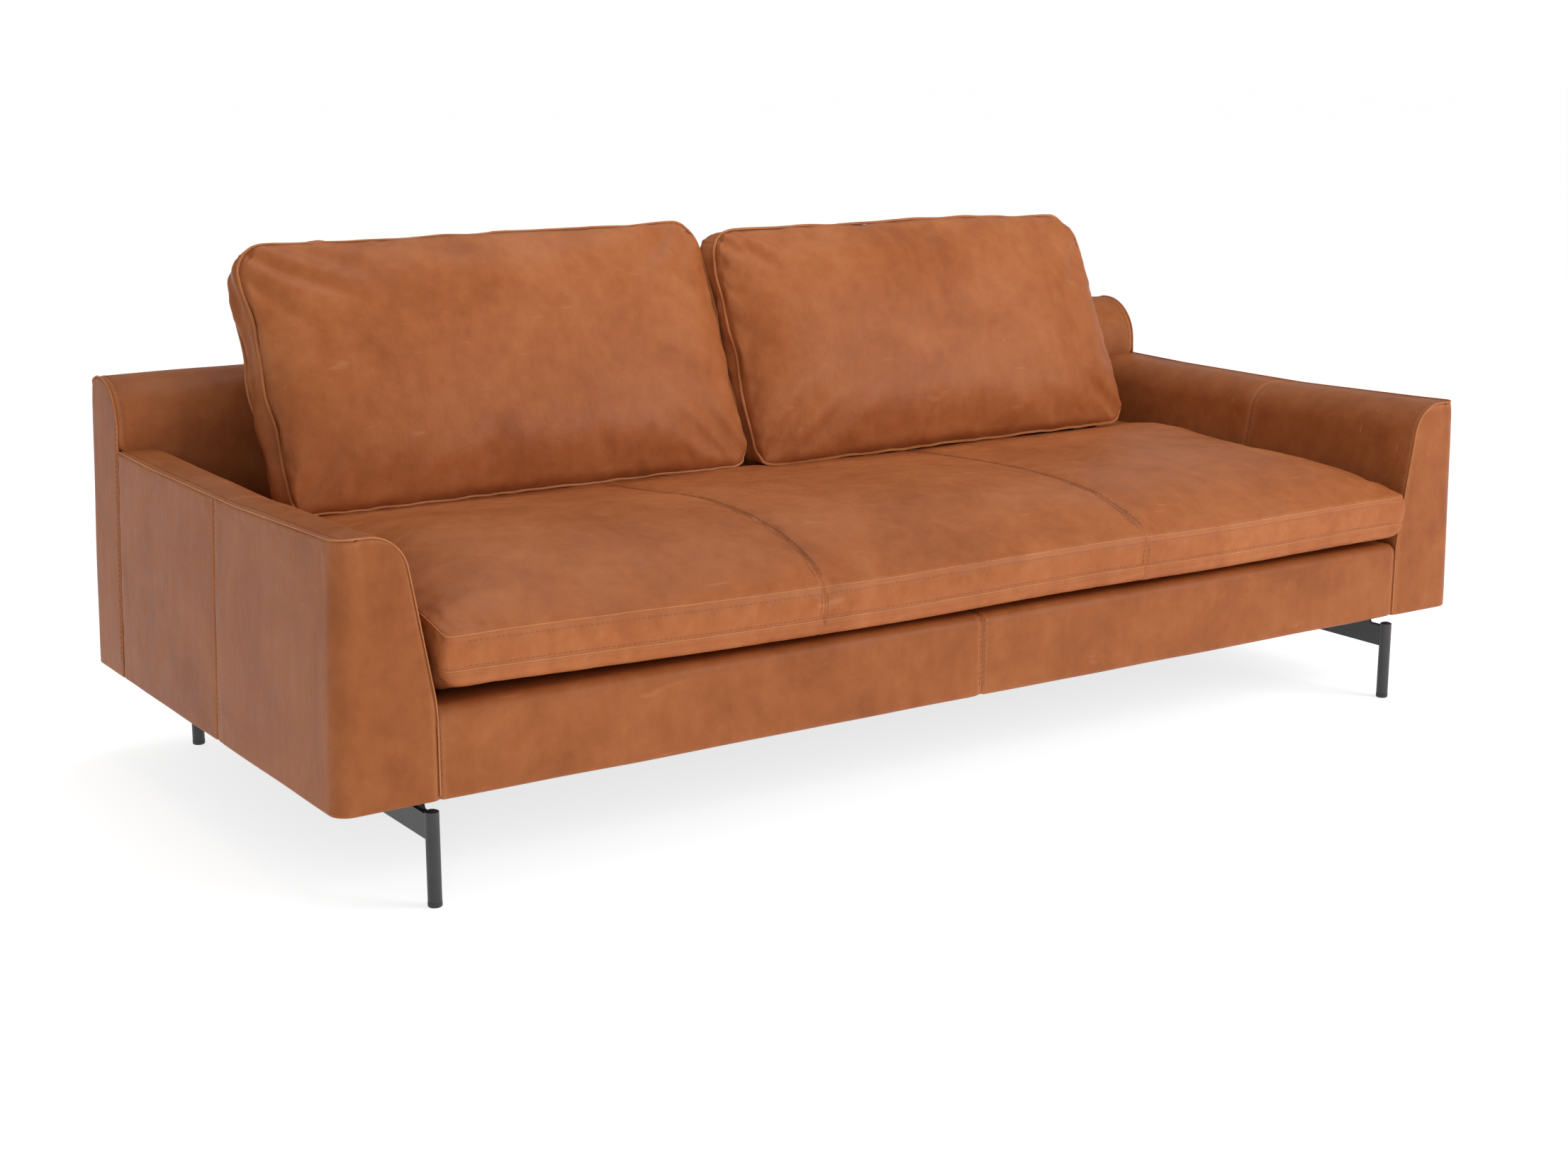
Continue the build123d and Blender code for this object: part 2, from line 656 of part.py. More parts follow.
def make_leg_boards():
    """Wooden boards inside the frame that the leg brackets bolt to."""
    with BuildPart() as leg_boards:
        for side in (-1, 1):
            for start, way in bracket_starts():
                centre = start + way * BRACKET_LENGTH / 2
                with BuildSketch(Plane.XY.offset(FRAME_BOTTOM)):
                    with Locations((side * (SIDE_RAIL_INNER - LEG_BOARD_WIDTH / 2), centre)):
                        Rectangle(LEG_BOARD_WIDTH, LEG_BOARD_LENGTH)
                    with Locations(
                        (side * BOLT_X, centre - BOLT_SPACING / 2),
                        (side * BOLT_X, centre + BOLT_SPACING / 2),
                    ):
                        Circle(NUT_BARREL_DIAMETER / 2, mode=Mode.SUBTRACT)
                extrude(amount=BOARD)
        for side in (-1, 1):
            post = block(
                sorted((side * POST_INNER, side * POST_OUTER)),
                (FRONT_POST_Y, FRONT_POST_Y + POST_DEPTH),
                (0, RAIL_TOP),
            )
            add(post, mode=Mode.SUBTRACT)
    save(leg_boards.part, "leg_boards")


def make_fasteners():
    """Pan-head bolts up through the brackets, and the tee nuts that take them on top of the boards."""
    flange_low = FLOOR_CLEARANCE - BRACKET_PLATE
    board_top = FRAME_BOTTOM + BOARD
    with BuildPart() as bolt:
        with BuildSketch(Plane.XY.offset(flange_low - BOLT_HEAD_HEIGHT)):
            Circle(BOLT_HEAD_DIAMETER / 2)
        extrude(amount=BOLT_HEAD_HEIGHT)
        with BuildSketch(Plane.XY.offset(flange_low)):
            Circle(BOLT_DIAMETER / 2)
        extrude(amount=board_top + NUT_FLANGE - flange_low)
    with BuildPart() as nut:
        with BuildSketch(Plane.XY.offset(board_top)):
            Circle(NUT_FLANGE_DIAMETER / 2)
        extrude(amount=NUT_FLANGE)
        with BuildSketch(Plane.XY.offset(board_top)):
            Circle(NUT_BARREL_DIAMETER / 2)
        extrude(amount=-NUT_BARREL_LENGTH)
        with BuildSketch(Plane.XY.offset(board_top + NUT_FLANGE)):
            Circle(NUT_BORE / 2)
        extrude(amount=-NUT_BARREL_LENGTH - NUT_FLANGE, mode=Mode.SUBTRACT)
    for name, piece in (("leg_bolts", bolt.part), ("tee_nuts", nut.part)):
        with BuildPart() as group:
            with Locations(*[(x, y, 0) for x, y in bolt_places()]):
                add(piece)
        save(group.part, name)


# ---------------------------------------------------------------- seat cushion
def seat_solid(inset):
    """The bench cushion: a flat front border, a crowned top, and a dip where the back cushions stand."""
    front = SEAT_FRONT_Y + inset
    rear = SEAT_REAR_Y - inset
    low = SEAT_BOTTOM + inset
    top = SEAT_TOP - inset
    stand = STAND_Z - inset
    border_low = SEAT_BOTTOM + SEAT_BORDER_LOW
    border_high = border_low + SEAT_BORDER_HEIGHT
    belly = SEAT_OVERHANG + CORNER_RADIUS
    with BuildPart() as solid:
        with BuildSketch(Plane.YZ):
            with BuildLine():
                Line((rear, low), (front + belly, low))
                TangentArc((front + belly, low), (front, border_low), tangent=(-1, 0))
                Line((front, border_low), (front, border_high))
                EllipticalCenterArc(
                    (front + SEAT_CROWN_REACH, border_high),
                    SEAT_CROWN_REACH,
                    top - border_high,
                    start_angle=90,
                    arc_size=90,
                )
                Polyline(
                    (front + SEAT_CROWN_REACH, top),
                    (SEAT_DIP_Y, top),
                    (SEAT_DIP_Y + SEAT_DIP_RUN, stand),
                    (rear, stand),
                    (rear, low),
                )
            make_face()
        extrude(amount=SEAT_HALF - inset, both=True)
    return solid.part


def zip_tape(plane, length):
    """A closed zip lying on a plane, its teeth along the plane's x."""
    with BuildPart() as tape:
        with BuildSketch(plane):
            Rectangle(length, ZIP_WIDTH)
        extrude(amount=ZIP_THICKNESS)
    return tape.part


def zip_slider(plane, length):
    """The zip's slider at its closed end, a hair above the tape, with its pull lying flat."""
    lift = ZIP_THICKNESS + SLIDER_GAP
    with BuildPart() as slider:
        with BuildSketch(plane.offset(lift)):
            with Locations(((length - SLIDER_LENGTH) / 2, 0)):
                Rectangle(SLIDER_LENGTH, SLIDER_WIDTH)
            with Locations((length / 2 - 2 * SLIDER_LENGTH, 0)):
                Rectangle(2 * SLIDER_LENGTH, SLIDER_WIDTH / 2)
        extrude(amount=SLIDER_HEIGHT)
    return slider.part


def make_seat_cushion():
    """Leather cover, foam core, zip and slider of the bench cushion."""
    with BuildPart() as cover:
        add(seat_solid(0))
        add(seat_solid(LEATHER), mode=Mode.SUBTRACT)
    save(cover.part, "seat_cushion_cover")
    save(seat_solid(LEATHER + CORE_CLEARANCE), "seat_cushion_core")
    zip_plane = Plane(
        origin=(0, SEAT_REAR_Y, (SEAT_BOTTOM + STAND_Z) / 2), x_dir=(1, 0, 0), z_dir=(0, 1, 0)
    )
    length = 2 * (SEAT_HALF - ZIP_END_MARGIN)
    save(zip_tape(zip_plane, length), "seat_zip")
    save(zip_slider(zip_plane, length), "seat_zip_slider")


# ---------------------------------------------------------------- back cushions
def back_cushion_solid(centre_x, front_edge, tilt, inset):
    """A boxed cushion leaning back by tilt: a gusset with rounded corners, and a crown on each face."""
    lean = radians(tilt)
    base_z = STAND_Z + CUSHION_REST_GAP + BACK_CUSHION_GUSSET * sin(lean)
    face = Plane(origin=(centre_x, front_edge, base_z), x_dir=(1, 0, 0), z_dir=(0, -cos(lean), sin(lean)))
    middle = (0, BACK_CUSHION_HEIGHT / 2)
    wide = BACK_CUSHION_WIDTH - 2 * inset
    tall = BACK_CUSHION_HEIGHT - 2 * inset
    slope = 2 * BACK_CUSHION_SLOPE
    crowns = ((-inset, BACK_CUSHION_FRONT_CROWN), (inset - BACK_CUSHION_GUSSET, -BACK_CUSHION_REAR_CROWN))
    with BuildPart() as solid:
        with BuildSketch(face.offset(inset - BACK_CUSHION_GUSSET)):
            with Locations(middle):
                RectangleRounded(wide, tall, BACK_CUSHION_CORNER - inset)
        extrude(amount=BACK_CUSHION_GUSSET - 2 * inset)
        for base, rise in crowns:
            with BuildSketch(face.offset(base)):
                with Locations(middle):
                    RectangleRounded(wide, tall, BACK_CUSHION_CORNER - inset)
            with BuildSketch(face.offset(base + rise)):
                with Locations(middle):
                    RectangleRounded(wide - slope, tall - slope, BACK_CUSHION_CORNER - inset)
            loft(ruled=True)
    return solid.part


def make_back_cushion(side_name, centre_x, front_edge, tilt):
    """Leather cover, filling, zip and slider of one back cushion."""
    with BuildPart() as cover:
        add(back_cushion_solid(centre_x, front_edge, tilt, 0))
        add(back_cushion_solid(centre_x, front_edge, tilt, LEATHER), mode=Mode.SUBTRACT)
    save(cover.part, f"back_cushion_cover_{side_name}")
    core = back_cushion_solid(centre_x, front_edge, tilt, LEATHER + CORE_CLEARANCE)
    save(core, f"back_cushion_filling_{side_name}")
    lean = radians(tilt)
    middle = BACK_CUSHION_GUSSET / 2
    base_z = STAND_Z + CUSHION_REST_GAP + BACK_CUSHION_GUSSET * sin(lean)
    zip_plane = Plane(
        origin=(centre_x, front_edge + middle * cos(lean), base_z - middle * sin(lean)),
        x_dir=(1, 0, 0),
        z_dir=(0, -sin(lean), -cos(lean)),
    )
    length = BACK_CUSHION_WIDTH - 2 * ZIP_END_MARGIN
    save(zip_tape(zip_plane, length), f"back_zip_{side_name}")
    save(zip_slider(zip_plane, length), f"back_zip_slider_{side_name}")


def make_back_cushions():
    """The two back cushions side by side, a small gap between them near the middle of the seat."""
    offset = (BACK_CUSHION_WIDTH + BACK_CUSHION_GAP) / 2
    make_back_cushion("left", BACK_CUSHION_SHIFT - offset, LEFT_FRONT_EDGE, LEFT_TILT)
    make_back_cushion("right", BACK_CUSHION_SHIFT + offset, RIGHT_FRONT_EDGE, RIGHT_TILT)


make_rails()
make_arm_frames()
make_back_frame()
make_corner_blocks()
make_springs()
make_webbing()
make_arm_foams()
make_back_foam()
make_rail_foam()
make_arm_covers()
make_back_covers()
make_rail_cover()
make_cloths()
make_leg_tubes()
make_leg_bars()
make_brackets()
make_caps_and_glides()
make_leg_boards()
make_fasteners()
make_seat_cushion()
make_back_cushions()
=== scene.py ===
"""Three-seat leather sofa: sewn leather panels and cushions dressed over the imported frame."""

from __future__ import annotations

import json
import logging
import math
from collections.abc import Callable, Sequence
from dataclasses import dataclass
from enum import Enum

import bpy
import numpy as np
from mathutils import Matrix, Vector, noise

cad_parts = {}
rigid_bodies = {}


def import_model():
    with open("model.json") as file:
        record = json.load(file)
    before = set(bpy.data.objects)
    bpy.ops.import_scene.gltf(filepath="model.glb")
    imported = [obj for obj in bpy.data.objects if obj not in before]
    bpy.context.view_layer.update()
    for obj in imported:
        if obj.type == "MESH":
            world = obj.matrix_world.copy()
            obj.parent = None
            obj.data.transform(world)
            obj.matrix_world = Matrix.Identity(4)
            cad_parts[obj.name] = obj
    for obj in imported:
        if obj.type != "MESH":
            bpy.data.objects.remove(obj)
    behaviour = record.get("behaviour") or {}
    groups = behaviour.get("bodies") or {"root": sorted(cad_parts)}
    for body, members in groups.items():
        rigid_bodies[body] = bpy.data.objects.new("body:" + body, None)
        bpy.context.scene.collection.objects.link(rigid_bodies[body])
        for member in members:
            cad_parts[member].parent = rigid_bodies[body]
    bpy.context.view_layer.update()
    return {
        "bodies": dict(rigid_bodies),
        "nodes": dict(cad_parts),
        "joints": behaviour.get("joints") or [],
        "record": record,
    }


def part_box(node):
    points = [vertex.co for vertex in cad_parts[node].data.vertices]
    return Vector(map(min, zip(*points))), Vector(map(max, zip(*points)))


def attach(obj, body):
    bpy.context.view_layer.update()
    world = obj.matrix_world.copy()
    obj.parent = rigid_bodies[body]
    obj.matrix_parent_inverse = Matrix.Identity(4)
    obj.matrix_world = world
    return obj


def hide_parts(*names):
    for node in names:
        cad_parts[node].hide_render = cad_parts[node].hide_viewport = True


log = logging.getLogger("sofa")
Surface = Callable[[np.ndarray, np.ndarray], np.ndarray]


class Side(Enum):
    """An end of the sofa, with the way that X runs there."""

    LEFT = -1
    RIGHT = 1

    @property
    def word(self) -> str:
        """Return the side's name as piece names use it."""
        return self.name.lower()


# ---------------------------------------------------------------- small helpers
def linear(code: str) -> tuple[float, float, float, float]:
    """Turn an sRGB hex colour into linear RGBA.

    Args:
        code: Six hex digits.

    Returns:
        The colour as Blender's sockets take it.
    """
    parts = [int(code[i : i + 2], 16) / 255 for i in (0, 2, 4)]
    light = [p / 12.92 if p <= 0.04045 else ((p + 0.055) / 1.055) ** 2.4 for p in parts]
    return light[0], light[1], light[2], 1.0


def smooth(low: float, high: float, value: np.ndarray) -> np.ndarray:
    """Return a soft step that rises from 0 at low to 1 at high."""
    share = np.clip((value - low) / (high - low), 0, 1)
    return share * share * (3 - 2 * share)


def crowd(share: np.ndarray, pull: float = 0.9) -> np.ndarray:
    """Return shares from 0 to 1 drawn closer together near both ends."""
    centred = 2 * share - 1
    return 0.5 + 0.5 * ((1 - pull) * centred + pull * np.sin(np.pi / 2 * centred))


def ripple(points: np.ndarray, pitch: float, seed: float) -> np.ndarray:
    """Return smooth noise from -1 to 1 at each point.

    Args:
        points: Places in metres, one row each.
        pitch: Rough spacing of the ripples in metres.
        seed: Shift that makes one set of ripples differ from another.

    Returns:
        One number for each point.
    """
    shift = Vector((seed, 1.7 * seed, -seed))
    return np.array([noise.noise(Vector(p) / pitch + shift) for p in points])


def deselect() -> None:
    """Leave object mode with nothing selected."""
    if bpy.context.object and bpy.context.object.mode != "OBJECT":
        bpy.ops.object.mode_set(mode="OBJECT")
    bpy.ops.object.select_all(action="DESELECT")


def pick(piece: bpy.types.Object) -> None:
    """Make one object the only selected and the active one.

    Args:
        piece: The object.
    """
    deselect()
    piece.select_set(True)
    bpy.context.view_layer.objects.active = piece


def join(pieces: Sequence[bpy.types.Object], name: str) -> bpy.types.Object:
    """Join objects into the first of them.

    Args:
        pieces: Objects, each with its own mesh.
        name: Name of the joined object.

    Returns:
        The joined object.
    """
    pick(pieces[0])
    for piece in pieces:
        piece.select_set(True)
    if len(pieces) > 1:
        bpy.ops.object.join()
    pieces[0].name = name
    return pieces[0]


def settle(piece: bpy.types.Object) -> None:
    """Bake an object's place and turn into its mesh."""
    pick(piece)
    bpy.ops.object.transform_apply(location=True, rotation=True, scale=True)


def points_of(piece: bpy.types.Object) -> np.ndarray:
    """Return a mesh object's points, one row each.

    Args:
        piece: The mesh object.

    Returns:
        The points.
    """
    flat = np.empty(len(piece.data.vertices) * 3)
    piece.data.vertices.foreach_get("co", flat)
    return flat.reshape(-1, 3)


def set_points(piece: bpy.types.Object, points: np.ndarray) -> None:
    """Move a mesh object's points to new places."""
    piece.data.vertices.foreach_set("co", points.astype(np.float32).ravel())
    piece.data.update()


def normals_of(piece: bpy.types.Object) -> np.ndarray:
    """Return the normal at each point of a mesh object.

    Args:
        piece: The mesh object.

    Returns:
        The normals, one row each.
    """
    flat = np.empty(len(piece.data.vertices) * 3, np.float32)
    piece.data.vertex_normals.foreach_get("vector", flat)
    return flat.reshape(-1, 3).astype(float)


def note(piece: bpy.types.Object, name: str, values: np.ndarray) -> None:
    """Store one number for each point of a mesh."""
    layer = piece.data.attributes.new(name, "FLOAT", "POINT")
    layer.data.foreach_set("value", values.astype(np.float32))


def noted(piece: bpy.types.Object, name: str) -> np.ndarray:
    """Return the numbers that note stored.

    Args:
        piece: The mesh object.
        name: The name that the numbers were stored under.

    Returns:
        One number for each point.
    """
    values = np.empty(len(piece.data.vertices), np.float32)
    piece.data.attributes[name].data.foreach_get("value", values)
    return values.astype(float)


def finish_mesh(piece: bpy.types.Object, body: str, material: bpy.types.Material) -> None:
    """Shade a new piece smooth, dress it and let it ride on its body.

    Args:
        piece: The finished mesh.
        body: The body that it moves with.
        material: Its finish.
    """
    pick(piece)
    bpy.ops.object.shade_smooth_by_angle(angle=math.radians(50))
    piece.data.materials.clear()
    piece.data.materials.append(material)
    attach(piece, body)
    log.info("%s: %d points", piece.name, len(piece.data.vertices))


@dataclass(frozen=True)
class Outline:
    """A flat path of straight runs whose corners are rounded."""

    corners: tuple[tuple[float, float], ...]
    radii: tuple[float, ...]

    def points(self) -> np.ndarray:
        """Return the path as close-set points.

        Returns:
            The points, one row each.
        """
        path = [np.array(self.corners[0])]
        for before, corner, after, radius in zip(
            self.corners, self.corners[1:], self.corners[2:], self.radii
        ):
            here = np.array(corner)
            into = (here - before) / np.linalg.norm(here - before)
            out = (after - here) / np.linalg.norm(after - here)
            turn = math.acos(np.clip(into @ out, -1, 1))
            way = 1.0 if into[0] * out[1] - into[1] * out[0] > 0 else -1.0
            start = here - into * radius * math.tan(turn / 2)
            centre = start + way * radius * np.array((-into[1], into[0]))
            arm = start - centre
            for angle in way * turn * np.linspace(0, 1, 17):
                c, s = math.cos(angle), math.sin(angle)
                path.append(centre + np.array((c * arm[0] - s * arm[1], s * arm[0] + c * arm[1])))
        path.append(np.array(self.corners[-1]))
        return np.array(path)

    def at(self, share: np.ndarray) -> np.ndarray:
        """Return the points at shares of the path's length.

        Args:
            share: Shares of the length, from 0 to 1.

        Returns:
            The points, one row each.
        """
        path = self.points()
        run = np.concatenate(([0], np.cumsum(np.linalg.norm(np.diff(path, axis=0), axis=1))))
        place = np.clip(share, 0, 1) * run[-1]
        return np.stack([np.interp(place, run, path[:, i]) for i in (0, 1)], axis=-1)


# ---------------------------------------------------------------- finishes
def add(
    tree: bpy.types.NodeTree,
    kind: str,
    settings: dict[str, object] | None = None,
    values: dict[str | int, object] | None = None,
    links: dict[str | int, bpy.types.NodeSocket] | None = None,
) -> bpy.types.Node:
    """Add a node with its settings, its socket values and its links.

    Args:
        tree: The node tree that it joins.
        kind: The node's type name.
        settings: Properties of the node.
        values: Values of its input sockets.
        links: Output sockets that feed its inputs.

    Returns:
        The new node.
    """
    node = tree.nodes.new(kind)
    for key, value in (settings or {}).items():
        setattr(node, key, value)
    for key, value in (values or {}).items():
        node.inputs[key].default_value = value
    for key, socket in (links or {}).items():
        tree.links.new(socket, node.inputs[key])
    return node


def blank_material(name: str) -> tuple[bpy.types.Material, bpy.types.NodeTree, bpy.types.Node]:
    """Return a new material, its node tree and its shader.

    Args:
        name: Name of the material.

    Returns:
        The material, its tree and its Principled shader.
    """
    material = bpy.data.materials.new(name)
    material.use_nodes = True
    tree = material.node_tree
    return material, tree, tree.nodes["Principled BSDF"]


@dataclass(frozen=True)
class SemiAnilineLeather:
    """Cowhide, drum-dyed tan under a thin satin finish: uneven tone, fine grain, pale worn edges and
    painted shade in the seams.
    """

    name: str = "semi_aniline_leather"
    tone: str = "995830"
    deep: str = "8b4d29"
    pale: str = "a5643b"
    grain: float = 0.12

    def make(self) -> bpy.types.Material:
        """Return the material.

        Returns:
            The material, which reads the seam and rub attributes.
        """
        material, tree, shader = blank_material(self.name)
        place = add(tree, "ShaderNodeTexCoord").outputs["Object"]
        # Dye takes unevenly over a hide: patches a hand wide, and smaller clouds within them.
        patches = add(
            tree,
            "ShaderNodeTexNoise",
            None,
            {"Scale": 5.5, "Detail": 5.0, "Roughness": 0.6, "Distortion": 0.6},
            {"Vector": place},
        )
        clouds = add(
            tree,
            "ShaderNodeTexNoise",
            None,
            {"Scale": 34.0, "Detail": 6.0, "Roughness": 0.65},
            {"Vector": place},
        )
        # Fat wrinkles run up and down the hide: stretched noise, 12 mm apart and 150 mm long.
        tall = add(
            tree,
            "ShaderNodeMapping",
            {"vector_type": "POINT"},
            {"Scale": (46.0, 46.0, 5.0)},
            {"Vector": place},
        )
        streaks = add(
            tree,
            "ShaderNodeTexNoise",
            None,
            {"Scale": 1.0, "Detail": 4.0, "Roughness": 0.55, "Distortion": 0.35},
            {"Vector": tall.outputs[0]},
        )
        mixed = add(
            tree, "ShaderNodeMath", {"operation": "MULTIPLY_ADD"}, {1: 0.55}, {0: clouds.outputs["Fac"]}
        )
        tree.links.new(patches.outputs["Fac"], mixed.inputs[2])
        both = add(
            tree,
            "ShaderNodeMath",
            {"operation": "MULTIPLY_ADD"},
            {1: 0.22},
            {0: streaks.outputs["Fac"], 2: mixed.outputs[0]},
        )
        dye = add(
            tree,
            "ShaderNodeValToRGB",
            None,
            None,
            {
                "Fac": add(
                    tree, "ShaderNodeMath", {"operation": "MULTIPLY"}, {1: 0.565}, {0: both.outputs[0]}
                ).outputs[0]
            },
        )
        dye.color_ramp.elements[0].position = 0.36
        dye.color_ramp.elements[0].color = linear(self.deep)
        dye.color_ramp.elements[1].position = 0.66
        dye.color_ramp.elements[1].color = linear(self.pale)
        middle = dye.color_ramp.elements.new(0.5)
        middle.color = linear(self.tone)
        # Scuffs: short pale scratches left by handling, sparse and thin.
        turned = add(
            tree,
            "ShaderNodeMapping",
            None,
            {"Rotation": (0.4, 0.9, 0.5), "Scale": (7.0, 60.0, 22.0)},
            {"Vector": place},
        )
        scuff = add(
            tree,
            "ShaderNodeTexNoise",
            None,
            {"Scale": 1.6, "Detail": 2.0, "Roughness": 0.5},
            {"Vector": turned.outputs[0]},
        )
        scuffed = add(
            tree,
            "ShaderNodeMapRange",
            None,
            {"From Min": 0.70, "From Max": 0.80, "To Min": 0.0, "To Max": 0.22},
            {"Value": scuff.outputs["Fac"]},
        )
        worn = add(
            tree,
            "ShaderNodeMix",
            {"data_type": "RGBA"},
            {7: linear("d69a70")},
            {0: scuffed.outputs[0], 6: dye.outputs["Color"]},
        )
        # Edges and welts are rubbed pale. The seam attribute mixes in a dark brown as painted shade, in the
        # seam grooves and along the pressed stitch rows.
        seam = add(tree, "ShaderNodeAttribute", {"attribute_name": "seam"}).outputs["Fac"]
        rub = add(tree, "ShaderNodeAttribute", {"attribute_name": "rub"}).outputs["Fac"]
        dark = add(
            tree, "ShaderNodeMix", {"data_type": "RGBA"}, {7: linear("6d3518")}, {6: worn.outputs[2]}
        )
        tree.links.new(
            add(tree, "ShaderNodeMath", {"operation": "MULTIPLY"}, {1: 0.28}, {0: seam}).outputs[0],
            dark.inputs[0],
        )
        edge = add(
            tree, "ShaderNodeMix", {"data_type": "RGBA"}, {7: linear("c58559")}, {6: dark.outputs[2]}
        )
        tree.links.new(
            add(tree, "ShaderNodeMath", {"operation": "MULTIPLY"}, {1: 0.25}, {0: rub}).outputs[0],
            edge.inputs[0],
        )
        tree.links.new(edge.outputs[2], shader.inputs["Base Color"])
        # The satin finish is thinner on the crests, so the gloss wanders with the clouds.
        gloss = add(
            tree,
            "ShaderNodeMapRange",
            None,
            {"From Min": 0.3, "From Max": 0.7, "To Min": 0.36, "To Max": 0.50},
            {"Value": clouds.outputs["Fac"]},
        )
        tree.links.new(gloss.outputs[0], shader.inputs["Roughness"])
        shader.inputs["IOR"].default_value = 1.45
        shader.inputs["Specular IOR Level"].default_value = 0.14
        # Grain pores are under 1 mm; drawn at 3 mm so that they show, over soft hide wrinkles.
        pores = add(tree, "ShaderNodeTexNoise", None, {"Scale": 330.0, "Detail": 2.0}, {"Vector": place})
        folds = add(
            tree,
            "ShaderNodeTexNoise",
            None,
            {"Scale": 60.0, "Detail": 4.0, "Distortion": 1.2},
            {"Vector": place},
        )
        heights = add(
            tree,
            "ShaderNodeMath",
            {"operation": "MULTIPLY_ADD"},
            {1: 3.2},
            {0: folds.outputs["Fac"], 2: pores.outputs["Fac"]},
        )
        veined = add(
            tree,
            "ShaderNodeMath",
            {"operation": "MULTIPLY_ADD"},
            {1: 4.0},
            {0: streaks.outputs["Fac"], 2: heights.outputs[0]},
        )
        bump = add(
            tree,
            "ShaderNodeBump",
            None,
            {"Strength": self.grain, "Distance": 0.0015},
            {"Height": veined.outputs[0]},
        )
        tree.links.new(bump.outputs[0], shader.inputs["Normal"])
        return material


@dataclass(frozen=True)
class PowderSteel:
    """Steel with a fine-textured black powder coat: a soft sheen broken by a faint orange peel."""

    name: str = "powder_coated_steel"
    tone: str = "2b2a2c"
    roughness: float = 0.42

    def make(self) -> bpy.types.Material:
        """Return the material.

        Returns:
            The material.
        """
        material, tree, shader = blank_material(self.name)
        place = add(tree, "ShaderNodeTexCoord").outputs["Object"]
        peel = add(tree, "ShaderNodeTexNoise", None, {"Scale": 700.0, "Detail": 3.0}, {"Vector": place})
        drift = add(tree, "ShaderNodeTexNoise", None, {"Scale": 18.0, "Detail": 3.0}, {"Vector": place})
        tone = add(
            tree,
            "ShaderNodeMix",
            {"data_type": "RGBA"},
            {6: linear(self.tone), 7: linear("3b393a")},
            {0: drift.outputs["Fac"]},
        )
        tree.links.new(tone.outputs[2], shader.inputs["Base Color"])
        gloss = add(
            tree,
            "ShaderNodeMapRange",
            None,
            {"To Min": self.roughness - 0.06, "To Max": self.roughness + 0.08},
            {"Value": peel.outputs["Fac"]},
        )
        tree.links.new(gloss.outputs[0], shader.inputs["Roughness"])
        bump = add(
            tree,
            "ShaderNodeBump",
            None,
            {"Strength": 0.08, "Distance": 0.0004},
            {"Height": peel.outputs["Fac"]},
        )
        tree.links.new(bump.outputs[0], shader.inputs["Normal"])
        return material


@dataclass(frozen=True)
class Grained:
    """A plain material whose tone wanders along stretched noise, such as pine, webbing or spun cloth."""

    name: str
    light: str
    dark: str
    scale: tuple[float, float, float]
    roughness: float
    metallic: float = 0.0
    relief: float = 0.15

    def make(self) -> bpy.types.Material:
        """Return the material.

        Returns:
            The material.
        """
        material, tree, shader = blank_material(self.name)
        place = add(tree, "ShaderNodeTexCoord").outputs["Object"]
        stretched = add(tree, "ShaderNodeMapping", None, {"Scale": self.scale}, {"Vector": place})
        figure = add(
            tree,
            "ShaderNodeTexNoise",
            None,
            {"Scale": 1.0, "Detail": 5.0, "Distortion": 0.4},
            {"Vector": stretched.outputs[0]},
        )
        tone = add(
            tree,
            "ShaderNodeMix",
            {"data_type": "RGBA"},
            {6: linear(self.light), 7: linear(self.dark)},
            {0: figure.outputs["Fac"]},
        )
        tree.links.new(tone.outputs[2], shader.inputs["Base Color"])
        gloss = add(
            tree,
            "ShaderNodeMapRange",
            None,
            {"To Min": self.roughness - 0.08, "To Max": self.roughness + 0.08},
            {"Value": figure.outputs["Fac"]},
        )
        tree.links.new(gloss.outputs[0], shader.inputs["Roughness"])
        shader.inputs["Metallic"].default_value = self.metallic
        bump = add(
            tree,
            "ShaderNodeBump",
            None,
            {"Strength": self.relief, "Distance": 0.0005},
            {"Height": figure.outputs["Fac"]},
        )
        tree.links.new(bump.outputs[0], shader.inputs["Normal"])
        return material


